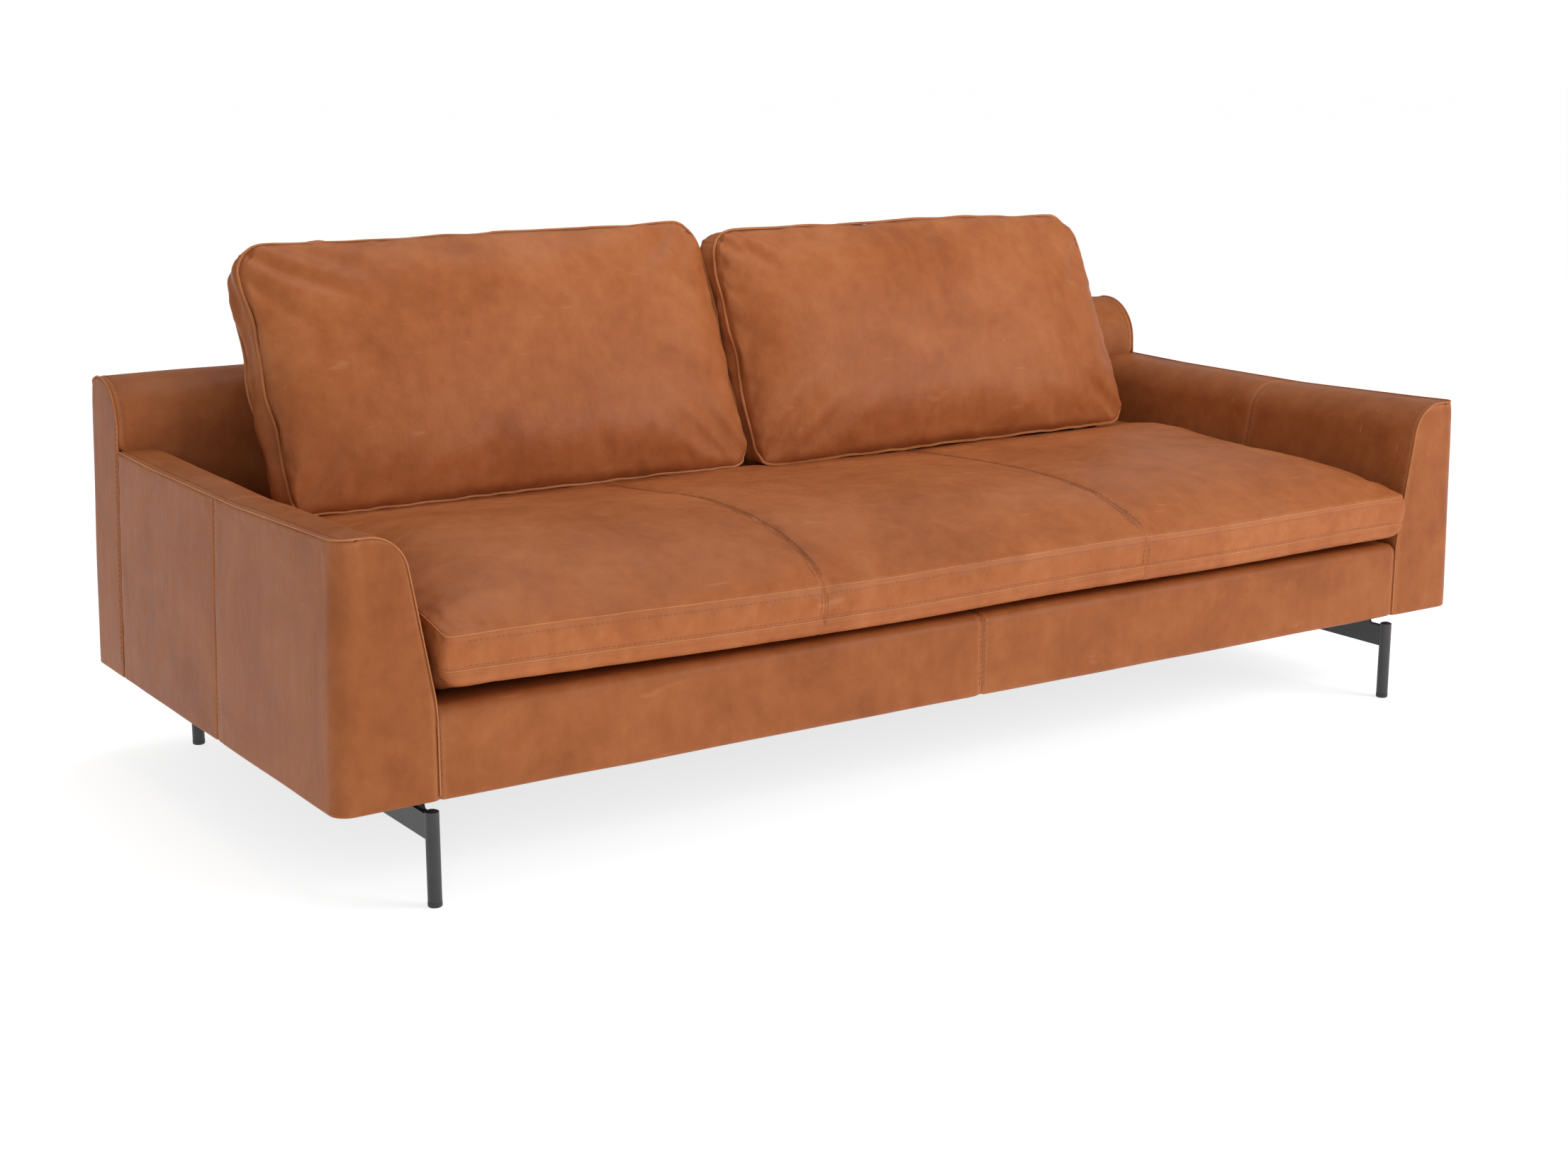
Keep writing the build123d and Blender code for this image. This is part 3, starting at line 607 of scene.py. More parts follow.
# ---------------------------------------------------------------- sewing
@dataclass
class Thread:
    """Topstitching in thread of the leather's own tone: short stitches laid along guide lines."""

    length: float = 0.0058
    gap: float = 0.0030
    radius: float = 0.0007

    def blank(self) -> bpy.types.Object:
        """Return one stitch lying along X: a round bar with rounded ends.

        Returns:
            The stitch as a mesh object.
        """
        deselect()
        bpy.ops.mesh.primitive_cylinder_add(
            vertices=6, radius=self.radius, depth=self.length, rotation=(0, math.pi / 2, 0)
        )
        stitch = bpy.context.active_object
        settle(stitch)
        bpy.ops.object.mode_set(mode="EDIT")
        bpy.ops.mesh.select_all(action="SELECT")
        bpy.ops.mesh.bevel(offset=self.radius * 0.6, segments=1, affect="EDGES")
        bpy.ops.object.mode_set(mode="OBJECT")
        return stitch

    def sew(self, name: str, cloth: bpy.types.Object, lines: Sequence[np.ndarray]) -> bpy.types.Object:
        """Lay stitches on a piece of leather along guide lines.

        Args:
            name: Name of the finished piece.
            cloth: The leather that the guide lines are dropped on.
            lines: Guide lines, each a row of close-set points just off the leather.

        Returns:
            All the stitches as one object.
        """
        blank = self.blank()
        made = []
        for line in lines:
            run = np.concatenate(([0], np.cumsum(np.linalg.norm(np.diff(line, axis=0), axis=1))))
            places = np.arange(self.length, run[-1] - self.length / 2, self.length + self.gap)
            for place in places:
                ends = [
                    Vector([np.interp(place + way * self.length / 2, run, line[:, i]) for i in range(3)])
                    for way in (-1, 1)
                ]
                _, spot, normal, _ = cloth.closest_point_on_mesh((ends[0] + ends[1]) / 2)
                along = (ends[1] - ends[0]).normalized()
                along = (along - normal * along.dot(normal)).normalized()
                across = normal.cross(along)
                turn = Matrix((along, across, normal)).transposed().to_4x4()
                copy = blank.copy()
                copy.data = blank.data.copy()
                copy.data.transform(Matrix.Translation(spot + normal * self.radius * 0.35) @ turn)
                bpy.context.scene.collection.objects.link(copy)
                made.append(copy)
        bpy.data.objects.remove(blank)
        return join(made, name)


def tube(name: str, path: np.ndarray, radius: float, closed: bool) -> bpy.types.Object:
    """Make a round cord along a path.

    Args:
        name: Name of the mesh object.
        path: The path's points.
        radius: The cord's radius.
        closed: Whether the path runs back into its start.

    Returns:
        The cord as a mesh.
    """
    line = bpy.data.curves.new(name, "CURVE")
    line.dimensions = "3D"
    line.bevel_depth = radius
    line.bevel_resolution = 1
    line.use_fill_caps = not closed
    run = line.splines.new("POLY")
    run.points.add(len(path) - 1)
    run.points.foreach_set("co", np.column_stack((path, np.ones(len(path)))).ravel())
    run.use_cyclic_u = closed
    piece = bpy.data.objects.new(name, line)
    bpy.context.scene.collection.objects.link(piece)
    pick(piece)
    bpy.ops.object.convert(target="MESH")
    return bpy.context.active_object


@dataclass
class Panel:
    """A leather panel over foam, whose edges roll into their seams with small puckers beside them."""

    name: str
    surface: Surface
    width: float
    height: float
    outward: tuple[float, float, float]
    rolls: tuple[float, float, float, float]
    cells: tuple[int, int] = (90, 70)
    puff: float = 0.002
    seed: float = 0.0
    wander: float = 0.0012
    stitched: tuple[float, float, float, float] = (0.0, 0.0, 0.0, 0.0)
    gathers: tuple[float, float, float] | None = None
    hide: float = 0.003

    def edges(self, u: np.ndarray, v: np.ndarray) -> list[np.ndarray]:
        """Return the distances from the panel's four edges in metres."""
        return [u * self.width, (1 - u) * self.width, v * self.height, (1 - v) * self.height]

    def place(self, u: np.ndarray, v: np.ndarray) -> np.ndarray:
        """Return points of the padded surface at shares u across and v up.

        Args:
            u: Shares across the panel.
            v: Shares up the panel.

        Returns:
            The points, one row each.
        """
        step = 0.004
        base = self.surface(u, v)
        across = self.surface(np.clip(u + step, 0, 1), v) - self.surface(np.clip(u - step, 0, 1), v)
        up = self.surface(u, np.clip(v + step, 0, 1)) - self.surface(u, np.clip(v - step, 0, 1))
        normal = np.cross(across, up)
        normal /= np.maximum(np.linalg.norm(normal, axis=1), 1e-12)[:, None]
        if (normal @ np.array(self.outward)).mean() < 0:
            normal = -normal
        lift = self.puff * np.clip(16 * u * (1 - u) * v * (1 - v), 0, 1) ** 0.4
        for edge, depth, row in zip(self.edges(u, v), self.rolls, self.stitched):
            if row > 0:
                lift -= 0.0006 * np.exp(-(((edge - row) / 0.0016) ** 2))
            lift -= depth * np.exp(-((edge / 0.0045) ** 1.4))
            if depth > 0:
                lift += 0.0009 * np.exp(-edge / 0.02) * ripple(
                    base, 0.016, self.seed + 5
                ) * smooth(0.0, 0.004, edge)
        lift += self.wander * ripple(base, 0.16, self.seed)
        if self.gathers:
            spot = np.exp(
                -(((u - self.gathers[0]) * self.width / 0.055) ** 2)
            ) * np.exp(-(1 - v) * self.height / self.gathers[1])
            lift += self.gathers[2] * spot * ripple(
                base * (1, 1, 0.25), 0.013, self.seed + 3
            ) * smooth(0.0, 0.01, (1 - v) * self.height)
        return base + normal * lift[:, None]

    def build(self) -> bpy.types.Object:
        """Return the panel as a mesh with its hide's thickness.

        Returns:
            The panel, with its seam and rub attributes.
        """
        deselect()
        bpy.ops.mesh.primitive_grid_add(x_subdivisions=self.cells[0], y_subdivisions=self.cells[1], size=2)
        piece = bpy.context.active_object
        piece.name = self.name
        flat = points_of(piece)
        u = crowd((flat[:, 0] + 1) / 2)
        v = crowd((flat[:, 1] + 1) / 2)
        set_points(piece, self.place(u, v))
        nearest = np.full(len(u), 9.0)
        rows = np.zeros(len(u))
        for edge, depth, row in zip(self.edges(u, v), self.rolls, self.stitched):
            if depth > 0:
                nearest = np.minimum(nearest, edge)
            if row > 0:
                rows = np.maximum(rows, 0.7 * np.exp(-(((edge - row) / 0.0015) ** 2)))
        # The seam attribute is painted shade: the leather material darkens it in the seam grooves and along
        # the pressed stitch rows.
        note(piece, "seam", np.maximum(rows, np.exp(-((nearest / 0.0025) ** 2))))
        note(piece, "rub", np.exp(-(((nearest - 0.006) / 0.004) ** 2)) * 0.8)
        facing = sum(
            (Vector(f.normal).dot(Vector(self.outward)) * f.area for f in piece.data.polygons), 0.0
        )
        if facing < 0:
            pick(piece)
            bpy.ops.object.mode_set(mode="EDIT")
            bpy.ops.mesh.select_all(action="SELECT")
            bpy.ops.mesh.flip_normals()
            bpy.ops.object.mode_set(mode="OBJECT")
        pick(piece)
        hide = piece.modifiers.new("hide", "SOLIDIFY")
        hide.thickness = self.hide
        hide.offset = -1
        bpy.ops.object.modifier_apply(modifier="hide")
        return piece

    def line(
        self, across: bool, share_at: float, count: int = 160, span: tuple[float, float] = (0.0, 1.0)
    ) -> np.ndarray:
        """Return a guide line over the padded surface.

        Args:
            across: Whether the line runs across the panel, and not up it.
            share_at: The share up, or across, at which it runs.
            count: How many points it has.
            span: The shares at which it starts and ends.

        Returns:
            The line's points.
        """
        run = np.linspace(span[0], span[1], count)
        fixed = np.full(count, share_at)
        return self.place(run, fixed) if across else self.place(fixed, run)


# ---------------------------------------------------------------- upholstered body
@dataclass(frozen=True)
class BodyForm:
    """The body's outer form: its plan with round corners, its leaning ends and its profiles."""

    half: float
    front: float
    rear: float
    low: float
    arm_top: float
    back_top: float
    back_front: float
    arm_inner: float
    lean: float = 0.019
    corner: float = 0.028
    arm_lean: float = 0.045
    knee: float = 0.300
    knee_radius: float = 0.240
    arm_radius: float = 0.060
    crown_front: float = 0.082
    crown_rear: float = 0.054

    @classmethod
    def from_frame(cls) -> BodyForm:
        """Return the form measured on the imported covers.

        Returns:
            The form.
        """
        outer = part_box("arm_outer_cover_right")
        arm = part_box("arm_cover_right")
        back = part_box("back_cover")
        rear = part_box("back_rear_cover")
        return cls(
            half=outer[1].x,
            front=outer[0].y,
            rear=rear[1].y,
            low=outer[0].z,
            arm_top=arm[1].z,
            back_top=back[1].z,
            back_front=arm[1].y,
            arm_inner=arm[0].x,
        )

    def half_at(self, z: np.ndarray) -> np.ndarray:
        """Return half the body's width at a height."""
        return self.half - self.lean * (z - self.low) / (self.back_top - self.low)

    def plan(self, run: np.ndarray, z: np.ndarray, inset: np.ndarray) -> np.ndarray:
        """Return (x, y) a distance round the plan, from the middle of the front to the middle of the rear.

        Args:
            run: Distance round the plan in metres, at floor level.
            z: Height of each point.
            inset: How far each point lies inside the outline.

        Returns:
            The points, one row each.
        """
        r = self.corner
        flat = self.half - r
        arc = r * math.pi / 2
        side = self.rear - self.front - 2 * r
        tight = np.maximum(r - inset, 0.001)
        turn = np.clip((run - flat) / arc, 0, 1) * math.pi / 2
        along = np.clip(run - flat - arc, 0, side)
        turn_rear = np.clip((run - flat - arc - side) / arc, 0, 1) * math.pi / 2
        home = np.clip(run - flat - 2 * arc - side, 0, flat)
        x = np.where(run < flat, run, flat + tight * np.sin(turn)) - tight * (1 - np.cos(turn_rear)) - home
        y = self.front + r - tight * np.cos(turn) + along + tight * np.sin(turn_rear)
        shrink = self.half_at(z) / self.half
        return np.column_stack((x * shrink, y))

    @property
    def side_start(self) -> float:
        """Return the distance round the plan at which the straight side starts."""
        return self.half - self.corner + self.corner * math.pi / 2

    def run_at(self, y: float) -> float:
        """Return the distance round the plan of a place on the side."""
        return self.side_start + y - self.front - self.corner

    @property
    def run_all(self) -> float:
        """Return the whole distance round half the plan."""
        side = self.side_start + self.rear - self.front - 2 * self.corner
        return side + self.corner * math.pi / 2 + self.half - self.corner

    def drawn(self, y: np.ndarray) -> np.ndarray:
        """Return how far the plan's round corners draw the side in at a depth."""
        short = np.clip(self.corner - np.minimum(y - self.front, self.rear - y), 0, self.corner)
        return self.corner - np.sqrt(np.maximum(self.corner**2 - short**2, 0))

    def sag(self, y: np.ndarray) -> np.ndarray:
        """Return how the arm's top rises in front and sinks in the middle.

        Args:
            y: Depths at which it is wanted.

        Returns:
            How much higher the top lies than level.
        """
        return np.interp(
            y, (self.front, -0.40, -0.12, 0.22, self.back_front), (0.005, 0.001, -0.007, -0.006, -0.002)
        )

    @property
    def arm_profile(self) -> Outline:
        """Return the right arm's section from the low inner edge up and over to its outer top edge.

        Returns:
            The section in (x, z).
        """
        corner = self.arm_inner + self.arm_lean
        return Outline(
            (
                (self.arm_inner, self.low),
                (self.arm_inner, self.knee),
                (corner, self.arm_top),
                (float(self.half_at(np.array(self.arm_top))), self.arm_top),
            ),
            (self.knee_radius, self.arm_radius),
        )

    @property
    def back_profile(self) -> Outline:
        """Return the back's section from its low front edge over the crown to its rear top seam.

        Returns:
            The section in (y, z).
        """
        return Outline(
            (
                (self.back_front, self.low + 0.1),
                (self.back_front, self.back_top),
                (self.rear, self.back_top),
                (self.rear, self.back_top - self.crown_rear - 0.0002),
            ),
            (self.crown_front, self.crown_rear),
        )

    def back_height(self, y: np.ndarray) -> np.ndarray:
        """Return the height of the back's section above each depth.

        Args:
            y: Depths at which it is wanted.

        Returns:
            The heights.
        """
        path = self.back_profile.points()
        order = path[np.argsort(path[:, 0], kind="stable")]
        deep = np.unique(np.round(order[:, 0], 6))
        tall = np.array([order[np.abs(order[:, 0] - d) < 2e-6, 1].max() for d in deep])
        tall[0] = self.back_top - self.crown_front
        tall[-1] = self.back_top - self.crown_rear
        return np.interp(y, deep, tall)


@dataclass
class UpholsteredBody:
    """The fixed body: front rail, arms and back, all in sewn panels over foam."""

    form: BodyForm
    leather: bpy.types.Material
    thread: bpy.types.Material
    edge: bpy.types.Material
    tuck: float = 0.018
    arm_seam: float = -0.050
    arm_cross_seam: float = -0.085
    rail_end: float = 0.973
    edge_radius: float = 0.0013
    row: float = 0.012
    close_row: float = 0.005

    def rise(self, v: np.ndarray, top: np.ndarray) -> tuple[np.ndarray, np.ndarray]:
        """Return (inset, height) up a side that starts tucked under the body's lower edge.

        Args:
            v: Shares up the side.
            top: The side's top edge at each point.

        Returns:
            The inset and the height of each point.
        """
        path = Outline(((self.tuck, 0.0), (0.0, 0.0), (0.0, 0.1)), (0.009,))
        low = path.at(np.clip(v / 0.12, 0, 1))
        inset = low[:, 0]
        part = np.clip((v - 0.12) / 0.88, 0, 1)
        z = self.form.low + np.where(
            v < 0.12, low[:, 1] * 0.35, 0.035 + part * (top - self.form.low - 0.035)
        )
        return inset, z

    def side_front(self, side: Side) -> Panel:
        """Return the arm's outer panel, which wraps round the front corner onto the arm's face.

        Args:
            side: The end of the sofa.

        Returns:
            The panel.
        """
        form = self.form
        start, end = self.rail_end, form.run_at(self.arm_seam)
        edge = form.half - form.corner
        inner = form.arm_profile
        path = inner.points()
        run = np.concatenate(([0], np.cumsum(np.linalg.norm(np.diff(path, axis=0), axis=1))))
        bend = run[np.argmin(np.abs(path[:, 0] - form.arm_inner - form.arm_lean - 0.010))] / run[-1]

        def surface(u: np.ndarray, v: np.ndarray) -> np.ndarray:
            """Carry the panel's square onto the face, the corner and the side.

            Args:
                u: Shares across the panel.
                v: Shares up the panel.

            Returns:
                The points, one row each.
            """
            around = start + (end - start) * u
            top = form.arm_top + form.sag(
                form.plan(around, np.full_like(u, form.arm_top), np.zeros_like(u))[:, 1]
            )
            inset, z = self.rise(v, top)
            flat = form.plan(around, z, inset)
            share = np.clip((edge - around) / (edge - start), 0, 1)
            up = np.clip((z - form.low) / (top - form.low), 0, 1)
            level = form.low + up * (form.arm_top - form.low)
            left = np.column_stack((edge * form.half_at(z) / form.half, level))
            right = inner.at(up * bend)
            corner_x = edge * form.half_at(np.array(form.arm_top)) / form.half
            first = np.interp(corner_x, path[-2:, 0], run[-2:] / run[-1])
            roof = inner.at(first + share * (bend - first))
            base = np.column_stack((edge + share * (form.arm_inner - edge), np.full_like(u, form.low)))
            s, t = share[:, None], up[:, None]
            p00, p10 = np.array((edge, form.low)), np.array((form.arm_inner, form.low))
            p01, p11 = np.array((corner_x, form.arm_top)), inner.at(np.array([bend]))[0]
            patch = (1 - s) * left + s * right + (1 - t) * base + t * roof
            patch -= (1 - s) * (1 - t) * p00 + s * (1 - t) * p10 + (1 - s) * t * p01 + s * t * p11
            facing = around < edge
            x = np.where(facing, patch[:, 0], flat[:, 0])
            height = np.where(facing, patch[:, 1] + form.sag(np.array(form.front)) * up, z)
            return np.column_stack((side.value * x, flat[:, 1], height))

        return Panel(
            f"arm_side_front_{side.word}",
            surface,
            end - start,
            0.42,
            (side.value * 0.7, -0.7, 0.0),
            (0.002, 0.0016, 0.0, 0.002),
            (130, 70),
            0.0025,
            3.0 + side.value,
            gathers=((edge + 0.022 - start) / (end - start), 0.050, 0.0042),
        )

    def side_rear(self, side: Side) -> Panel:
        """Return the arm's outer panel behind the upright seam.

        Args:
            side: The end of the sofa.

        Returns:
            The panel.
        """
        form = self.form
        start, end = form.run_at(self.arm_seam), form.run_at(form.back_front)

        def surface(u: np.ndarray, v: np.ndarray) -> np.ndarray:
            """Carry the panel's square onto the side.

            Args:
                u: Shares across the panel.
                v: Shares up the panel.

            Returns:
                The points, one row each.
            """
            around = start + (end - start) * u
            top = form.arm_top + form.sag(
                form.plan(around, np.full_like(u, form.arm_top), np.zeros_like(u))[:, 1]
            )
            inset, z = self.rise(v, top)
            flat = form.plan(around, z, inset)
            return np.column_stack((side.value * flat[:, 0], flat[:, 1], z))

        return Panel(
            f"arm_side_rear_{side.word}",
            surface,
            end - start,
            0.42,
            (side.value, 0, 0),
            (0.0016, 0.0018, 0.0, 0.002),
            (90, 70),
            0.0025,
            7.0 + side.value,
        )

    def arm_over(self, side: Side, rear: bool) -> Panel:
        """Return a panel that runs from the arm's outer top edge over and down its inner face.

        Args:
            side: The end of the sofa.
            rear: Whether it is the panel behind the cross seam.

        Returns:
            The panel.
        """
        form = self.form
        start = self.arm_cross_seam if rear else form.front
        end = form.back_front + 0.012 if rear else self.arm_cross_seam
        corners = form.arm_profile.corners
        tucked = Outline(((corners[0][0], form.knee - 0.03),) + corners[1:], form.arm_profile.radii)

        def surface(u: np.ndarray, v: np.ndarray) -> np.ndarray:
            """Carry the panel's square over the arm.

            Args:
                u: Shares across the panel.
                v: Shares up the panel.

            Returns:
                The points, one row each.
            """
            y = start + (end - start) * u
            section = tucked.at(v)
            up = (section[:, 1] - form.knee) / (form.arm_top - form.knee)
            flat_from = form.arm_inner + form.arm_lean + 0.0501
            wide = float(form.half_at(np.array(form.arm_top))) - flat_from
            over = np.maximum(section[:, 0] - flat_from, 0) * form.drawn(y) / wide
            return np.column_stack(
                (side.value * (section[:, 0] - over), y, section[:, 1] + form.sag(y) * np.clip(up, 0, 1))
            )

        word = "rear" if rear else "front"
        rolls = (0.0014, 0.0, 0.0, 0.002) if rear else (0.002, 0.0014, 0.0, 0.002)
        rows = (0.0, 0.0, 0.0, self.row) if rear else (self.row, self.close_row, 0.0, self.row)
        return Panel(
            f"arm_over_{word}_{side.word}",
            surface,
            end - start,
            0.37,
            (-side.value * 0.6, 0, 0.8),
            rolls,
            (80, 80),
            0.0022,
            11.0 + 2 * rear + side.value,
            stitched=rows,
        )

    def back_front(self, side: Side) -> Panel:
        """Return half of the back's front panel, which runs from the deck up and over the crown.

        Args:
            side: The end of the sofa.

        Returns:
            The panel.
        """
        form = self.form
        corners = form.back_profile.corners
        path = Outline(((corners[0][0], form.knee - 0.03),) + corners[1:], form.back_profile.radii)

        def surface(u: np.ndarray, v: np.ndarray) -> np.ndarray:
            """Carry the panel's square over the back.

            Args:
                u: Shares across the panel.
                v: Shares up the panel.

            Returns:
                The points, one row each.
            """
            section = path.at(v)
            reach = form.half_at(section[:, 1]) - 0.012 * (1 - smooth(0.535, 0.56, section[:, 1]))
            reach -= form.drawn(section[:, 0])
            return np.column_stack((side.value * u * reach, section[:, 0], section[:, 1]))

        return Panel(
            f"back_front_{side.word}",
            surface,
            1.12,
            0.52,
            (0, -0.8, 0.5),
            (0.0014, 0.0024, 0.0, 0.0018),
            (150, 80),
            0.0022,
            17.0 + side.value,
            stitched=(0.0, self.row, 0.0, 0.0),
        )

    def back_end(self, side: Side) -> Panel:
        """Return the panel that wraps from the back's end round the corner and along half the rear.

        Args:
            side: The end of the sofa.

        Returns:
            The panel.
        """
        form = self.form
        start = form.run_at(form.back_front)
        end = form.run_all

        def surface(u: np.ndarray, v: np.ndarray) -> np.ndarray:
            """Carry the panel's square round the end and the rear.

            Args:
                u: Shares across the panel.
                v: Shares up the panel.

            Returns:
                The points, one row each.
            """
            share = 0.35 * u + 0.65 * u * u
            around = start + (end - start) * share
            deep = form.plan(around, np.full_like(u, form.back_top), np.zeros_like(u))[:, 1]
            top = form.back_height(deep)
            inset, z = self.rise(v, top)
            flat = form.plan(around, z, inset)
            return np.column_stack((side.value * flat[:, 0], flat[:, 1], z))

        return Panel(
            f"back_end_{side.word}",
            surface,
            end - start,
            0.48,
            (side.value * 0.5, 0.8, 0),
            (0.0018, 0.0014, 0.0, 0.0018),
            (150, 80),
            0.0025,
            23.0 + side.value,
        )

    def rail_half(self, side: Side) -> Panel:
        """Return half of the front rail's panel, from under the body over the rounded nose.

        Args:
            side: The end of the sofa.

        Returns:
            The panel.
        """
        form = self.form
        path = Outline(
            ((self.tuck, form.low), (0.0, form.low), (0.0, form.knee - 0.002), (0.11, form.knee - 0.002)),
            (0.009, 0.018),
        )

        def surface(u: np.ndarray, v: np.ndarray) -> np.ndarray:
            """Carry the panel's square over the rail.

            Args:
                u: Shares across the panel.
                v: Shares up the panel.

            Returns:
                The points, one row each.
            """
            section = path.at(v)
            return np.column_stack(
                (side.value * u * self.rail_end, form.front + section[:, 0], section[:, 1])
            )

        return Panel(
            f"rail_{side.word}",
            surface,
            self.rail_end,
            0.26,
            (0, -1, 0.3),
            (0.0018, 0.0018, 0.0, 0.0),
            (150, 50),
            0.0015,
            29.0 + side.value,
            stitched=(self.close_row, 0.004, 0.0, 0.0),
        )

    def pipe(self, side: Side) -> None:
        """Lay the raised lapped edges along the arm's seams and round the back's end.

        Args:
            side: The end of the sofa.
        """
        form = self.form
        arm = form.arm_profile
        face = Outline(
            ((arm.corners[0][0], 0.17), arm.corners[1], arm.corners[2], arm.corners[3]), arm.radii
        ).at(np.linspace(0, 1, 150))
        flat_from = form.half_at(np.array(form.arm_top)) - form.corner
        face = face[face[:, 0] < flat_from]
        lifted = face[:, 1] + form.sag(np.array(form.front)) * np.clip(
            (face[:, 1] - form.knee) / (form.arm_top - form.knee), 0, 1
        )
        front = np.column_stack((face[:, 0], np.full(len(face), form.front - 0.0002), lifted))
        around = np.linspace(form.half - form.corner, form.run_at(form.back_front), 140)
        level = np.full_like(around, form.arm_top)
        plan = form.plan(around, level, np.zeros_like(around))
        edge = np.column_stack((plan[:, 0], plan[:, 1], form.arm_top + form.sag(plan[:, 1])))
        path = np.vstack((front, edge))
        back = form.back_profile.at(np.linspace(0.02, 0.999, 150))
        back = back[back[:, 1] > form.arm_top - 0.004]
        reach = form.half_at(back[:, 1]) - form.drawn(back[:, 0])
        crest = np.column_stack((reach, back[:, 0], back[:, 1]))
        for name, line in (("arm", path), ("back_end", crest)):
            line = line * (side.value, 1, 1)
            cord = tube(f"lapped_edge_{name}_{side.word}", line, self.edge_radius, False)
            finish_mesh(cord, "sofa_body", self.edge)

    def build(self) -> None:
        """Build, sew and dress every panel of the body."""
        stands = {Side.LEFT: [], Side.RIGHT: []}
        for side in Side:
            word = side.word
            jobs = (
                (self.side_front(side), (f"arm_outer_cover_{word}", f"arm_foam_{word}")),
                (self.side_rear(side), (f"arm_outer_cover_{word}",)),
                (self.arm_over(side, False), (f"arm_cover_{word}",)),
                (self.arm_over(side, True), (f"arm_cover_{word}",)),
                (self.back_front(side), ("back_cover", "back_foam")),
                (self.back_end(side), ("back_rear_cover",)),
                (self.rail_half(side), ("front_rail_cover", "front_rail_foam")),
            )
            for panel, nodes in jobs:
                piece = panel.build()
                finish_mesh(piece, "sofa_body", self.leather)
                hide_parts(*nodes)
                stands[side].append((panel, piece))
            self.sew(side, stands[side])
            self.pipe(side)

    def sew(self, side: Side, panels: list[tuple[Panel, bpy.types.Object]]) -> None:
        """Lay the topstitching of one end's panels.

        Args:
            side: The end of the sofa; not used.
            panels: The panels with their meshes, in the order of build.
        """
        front, _, over, over_rear, back, end, rail = panels
        thread = Thread()
        lines = (
            (
                over,
                [
                    over[0].line(True, 1 - self.row / over[0].height),
                    over[0].line(False, self.row / over[0].width, span=(0.12, 0.97)),
                    over[0].line(False, 1 - self.close_row / over[0].width, span=(0.12, 1.0)),
                ],
            ),
            (over_rear, [over_rear[0].line(True, 1 - self.row / over_rear[0].height)]),
            (front, [front[0].line(False, 1 - self.close_row / front[0].width, span=(0.1, 0.99))]),
            (back, [back[0].line(False, 1 - self.row / back[0].width, span=(0.58, 1.0))]),
            (end, [end[0].line(False, 0.014, span=(0.1, 0.98))]),
            (
                rail,
                [
                    rail[0].line(False, self.close_row / rail[0].width, span=(0.12, 0.8)),
                    rail[0].line(False, 1 - 0.004 / rail[0].width, span=(0.12, 0.6)),
                ],
            ),
        )
        for (panel, piece), guides in lines:
            stitches = thread.sew(f"stitches_{panel.name}", piece, guides)
            finish_mesh(stitches, "sofa_body", self.thread)


# ---------------------------------------------------------------- loose cushions
def rounded(points: np.ndarray, half: tuple[float, float], radius: float) -> np.ndarray:
    """Round the four corners of a flat rectangle full of points.

    Args:
        points: The points, one row each.
        half: The rectangle's half sizes.
        radius: The corners' radius.

    Returns:
        The points drawn into the rounded outline.
    """
    out = points.copy()
    over = np.abs(points) - (np.array(half) - radius)
    inside = (over > 0).all(axis=1)
    far = over[inside]
    scale = far.max(axis=1) / np.maximum(np.hypot(far[:, 0], far[:, 1]), 1e-9)
    out[inside] = np.sign(points[inside]) * (np.array(half) - radius + far * scale[:, None])
    return out


@dataclass
class Blank:
    """A sewn cushion cover before filling: two faces and the border between them."""

    name: str
    cells: tuple[int, int]
    cuts: int

    def build(self) -> bpy.types.Object:
        """Return two facing grids, one at z 0 and one at z 1, bridged along their rims.

        Returns:
            The cover, whose points carry a, b and c: shares across, up and through it.
        """
        faces = []
        for z in (1, 0):
            deselect()
            bpy.ops.mesh.primitive_grid_add(
                x_subdivisions=self.cells[0], y_subdivisions=self.cells[1], size=2, location=(0, 0, z)
            )
            settle(bpy.context.active_object)
            faces.append(bpy.context.active_object)
        piece = join(faces, self.name)
        pick(piece)
        bpy.ops.object.mode_set(mode="EDIT")
        bpy.ops.mesh.select_mode(type="EDGE")
        bpy.ops.mesh.select_all(action="DESELECT")
        bpy.ops.mesh.select_non_manifold()
        bpy.ops.mesh.bridge_edge_loops(number_cuts=self.cuts, interpolation="LINEAR")
        bpy.ops.mesh.select_all(action="SELECT")
        bpy.ops.mesh.normals_make_consistent(inside=False)
        bpy.ops.object.mode_set(mode="OBJECT")
        flat = points_of(piece)
        for name, column in zip(("a", "b", "c"), range(3)):
            note(piece, name, flat[:, column])
        return piece


